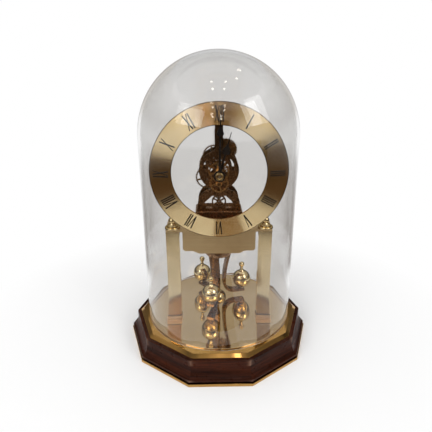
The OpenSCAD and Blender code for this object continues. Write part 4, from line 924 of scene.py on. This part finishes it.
def collar(name, near, far, first, last, height, tones, strength=1.0):
    """A flat ring of card just over the base, from one turn to another in degrees from the front. Only the
    base sees it, from below, and it is shaded round by pairs of (turn, tone)."""
    felt, add, _ = blank_material(name)
    at = add("SeparateXYZ", {0: here(add)}).outputs
    turn = worked(add, "ARCTAN2", at[0], worked(add, "MULTIPLY", at[1], -1.0))
    shade = add("ValToRGB", {0: fade(add, turn, -math.pi, math.pi)})
    ramp = shade.color_ramp.elements
    while len(ramp) < len(tones):
        ramp.new(0.5)
    for stop, (degrees, tone) in zip(ramp, tones):
        stop.position = 0.5 + degrees / 360
        stop.color = (tone, tone * 0.95, tone * 0.88, 1)
    glow = add("Emission", {"Color": shade, "Strength": strength})
    unseen = worked(add, "MAXIMUM", turned_past(add, AFTER_FIRST), add("NewGeometry").outputs["Backfacing"])
    shown = add("MixShader", {0: unseen, 1: glow, 2: add("BsdfTransparent")})
    plug(felt.node_tree.nodes["Material Output"], {"Surface": shown})
    hung(name, strip_round(name, (near, height), (far, height), first, last, 90), felt)


collar("base_collar", 88, 500, -180, 180, 60, (
    (-180, 0.16), (-95, 0.17), (-66, 0.48), (-46, 0.44), (-38, 0.15), (-18, 0.26), (-8, 0.50), (0, 1.0),
    (7, 0.75), (14, 0.60), (24, 0.24), (46, 0.20), (60, 0.20), (66, 0.06), (110, 0.17), (180, 0.16)))
collar("inner_collar", 77.5, 88, -180, 180, 60, (
    (-180, 0.55), (-60, 0.55), (60, 0.24), (125, 0.30), (180, 0.55)))
collar("base_spark", 92, 110, 8.6, 12.2, 59, ((-180, 1.0), (180, 1.0)), strength=5.0)

LAMP_POWER = 3.8
for name, at, aim, size in (("soft_top", (-0.45, -0.55, 1.15), (0, 0, 0.12), (0.7, 0.7)),
                            ("window", (0.78, -0.68, 0.84), (0, 0, 0.2), (0.45, 0.6)),
                            ("far_window", (-0.74, -0.90, 0.86), (0, 0, 0.2), (0.65, 0.5))):
    lamp = bpy.data.lights.new(name, "AREA")
    lamp.shape = "RECTANGLE"
    lamp.energy, lamp.size, lamp.size_y = LAMP_POWER, *size
    obj = placed(name, lamp)
    obj.location = at
    obj.rotation_euler = (Vector(aim) - Vector(at)).to_track_quat("-Z", "Y").to_euler()
    obj.visible_glossy = name != "soft_top"
    obj.visible_transmission = False

SOFT_LIGHT = 0.6            # the world's strength as soft light; where it is seen it is plain white
world = bpy.data.worlds.new("studio")
bpy.context.scene.world = world
world.use_nodes = True
add = node_adder(world.node_tree)
plug(world.node_tree.nodes["Background"], {
    "Color": WHITE, "Strength": fade(add, in_plain_sight(add), 0, 1, SOFT_LIGHT)})

# Camera: above the dial and almost straight in front
LENS, SENSOR, SHIFT = 34.07, 36.0, -0.00613
CAMERA_AT, LOOK_DOWN, LOOK_RIGHT = (-8.59, -390.6, 283.7), 20.86, 1.26      # mm and degrees
lens = bpy.data.cameras.new("camera")
lens.lens, lens.sensor_width, lens.shift_x = LENS, SENSOR, SHIFT
lens.clip_start = 0.01
camera = placed("camera", lens)
camera.location = Vector(CAMERA_AT) * MM
camera.rotation_euler = (math.radians(90 - LOOK_DOWN), 0, math.radians(-LOOK_RIGHT))
bpy.context.scene.camera = camera
bpy.context.scene.view_settings.view_transform = "Standard"
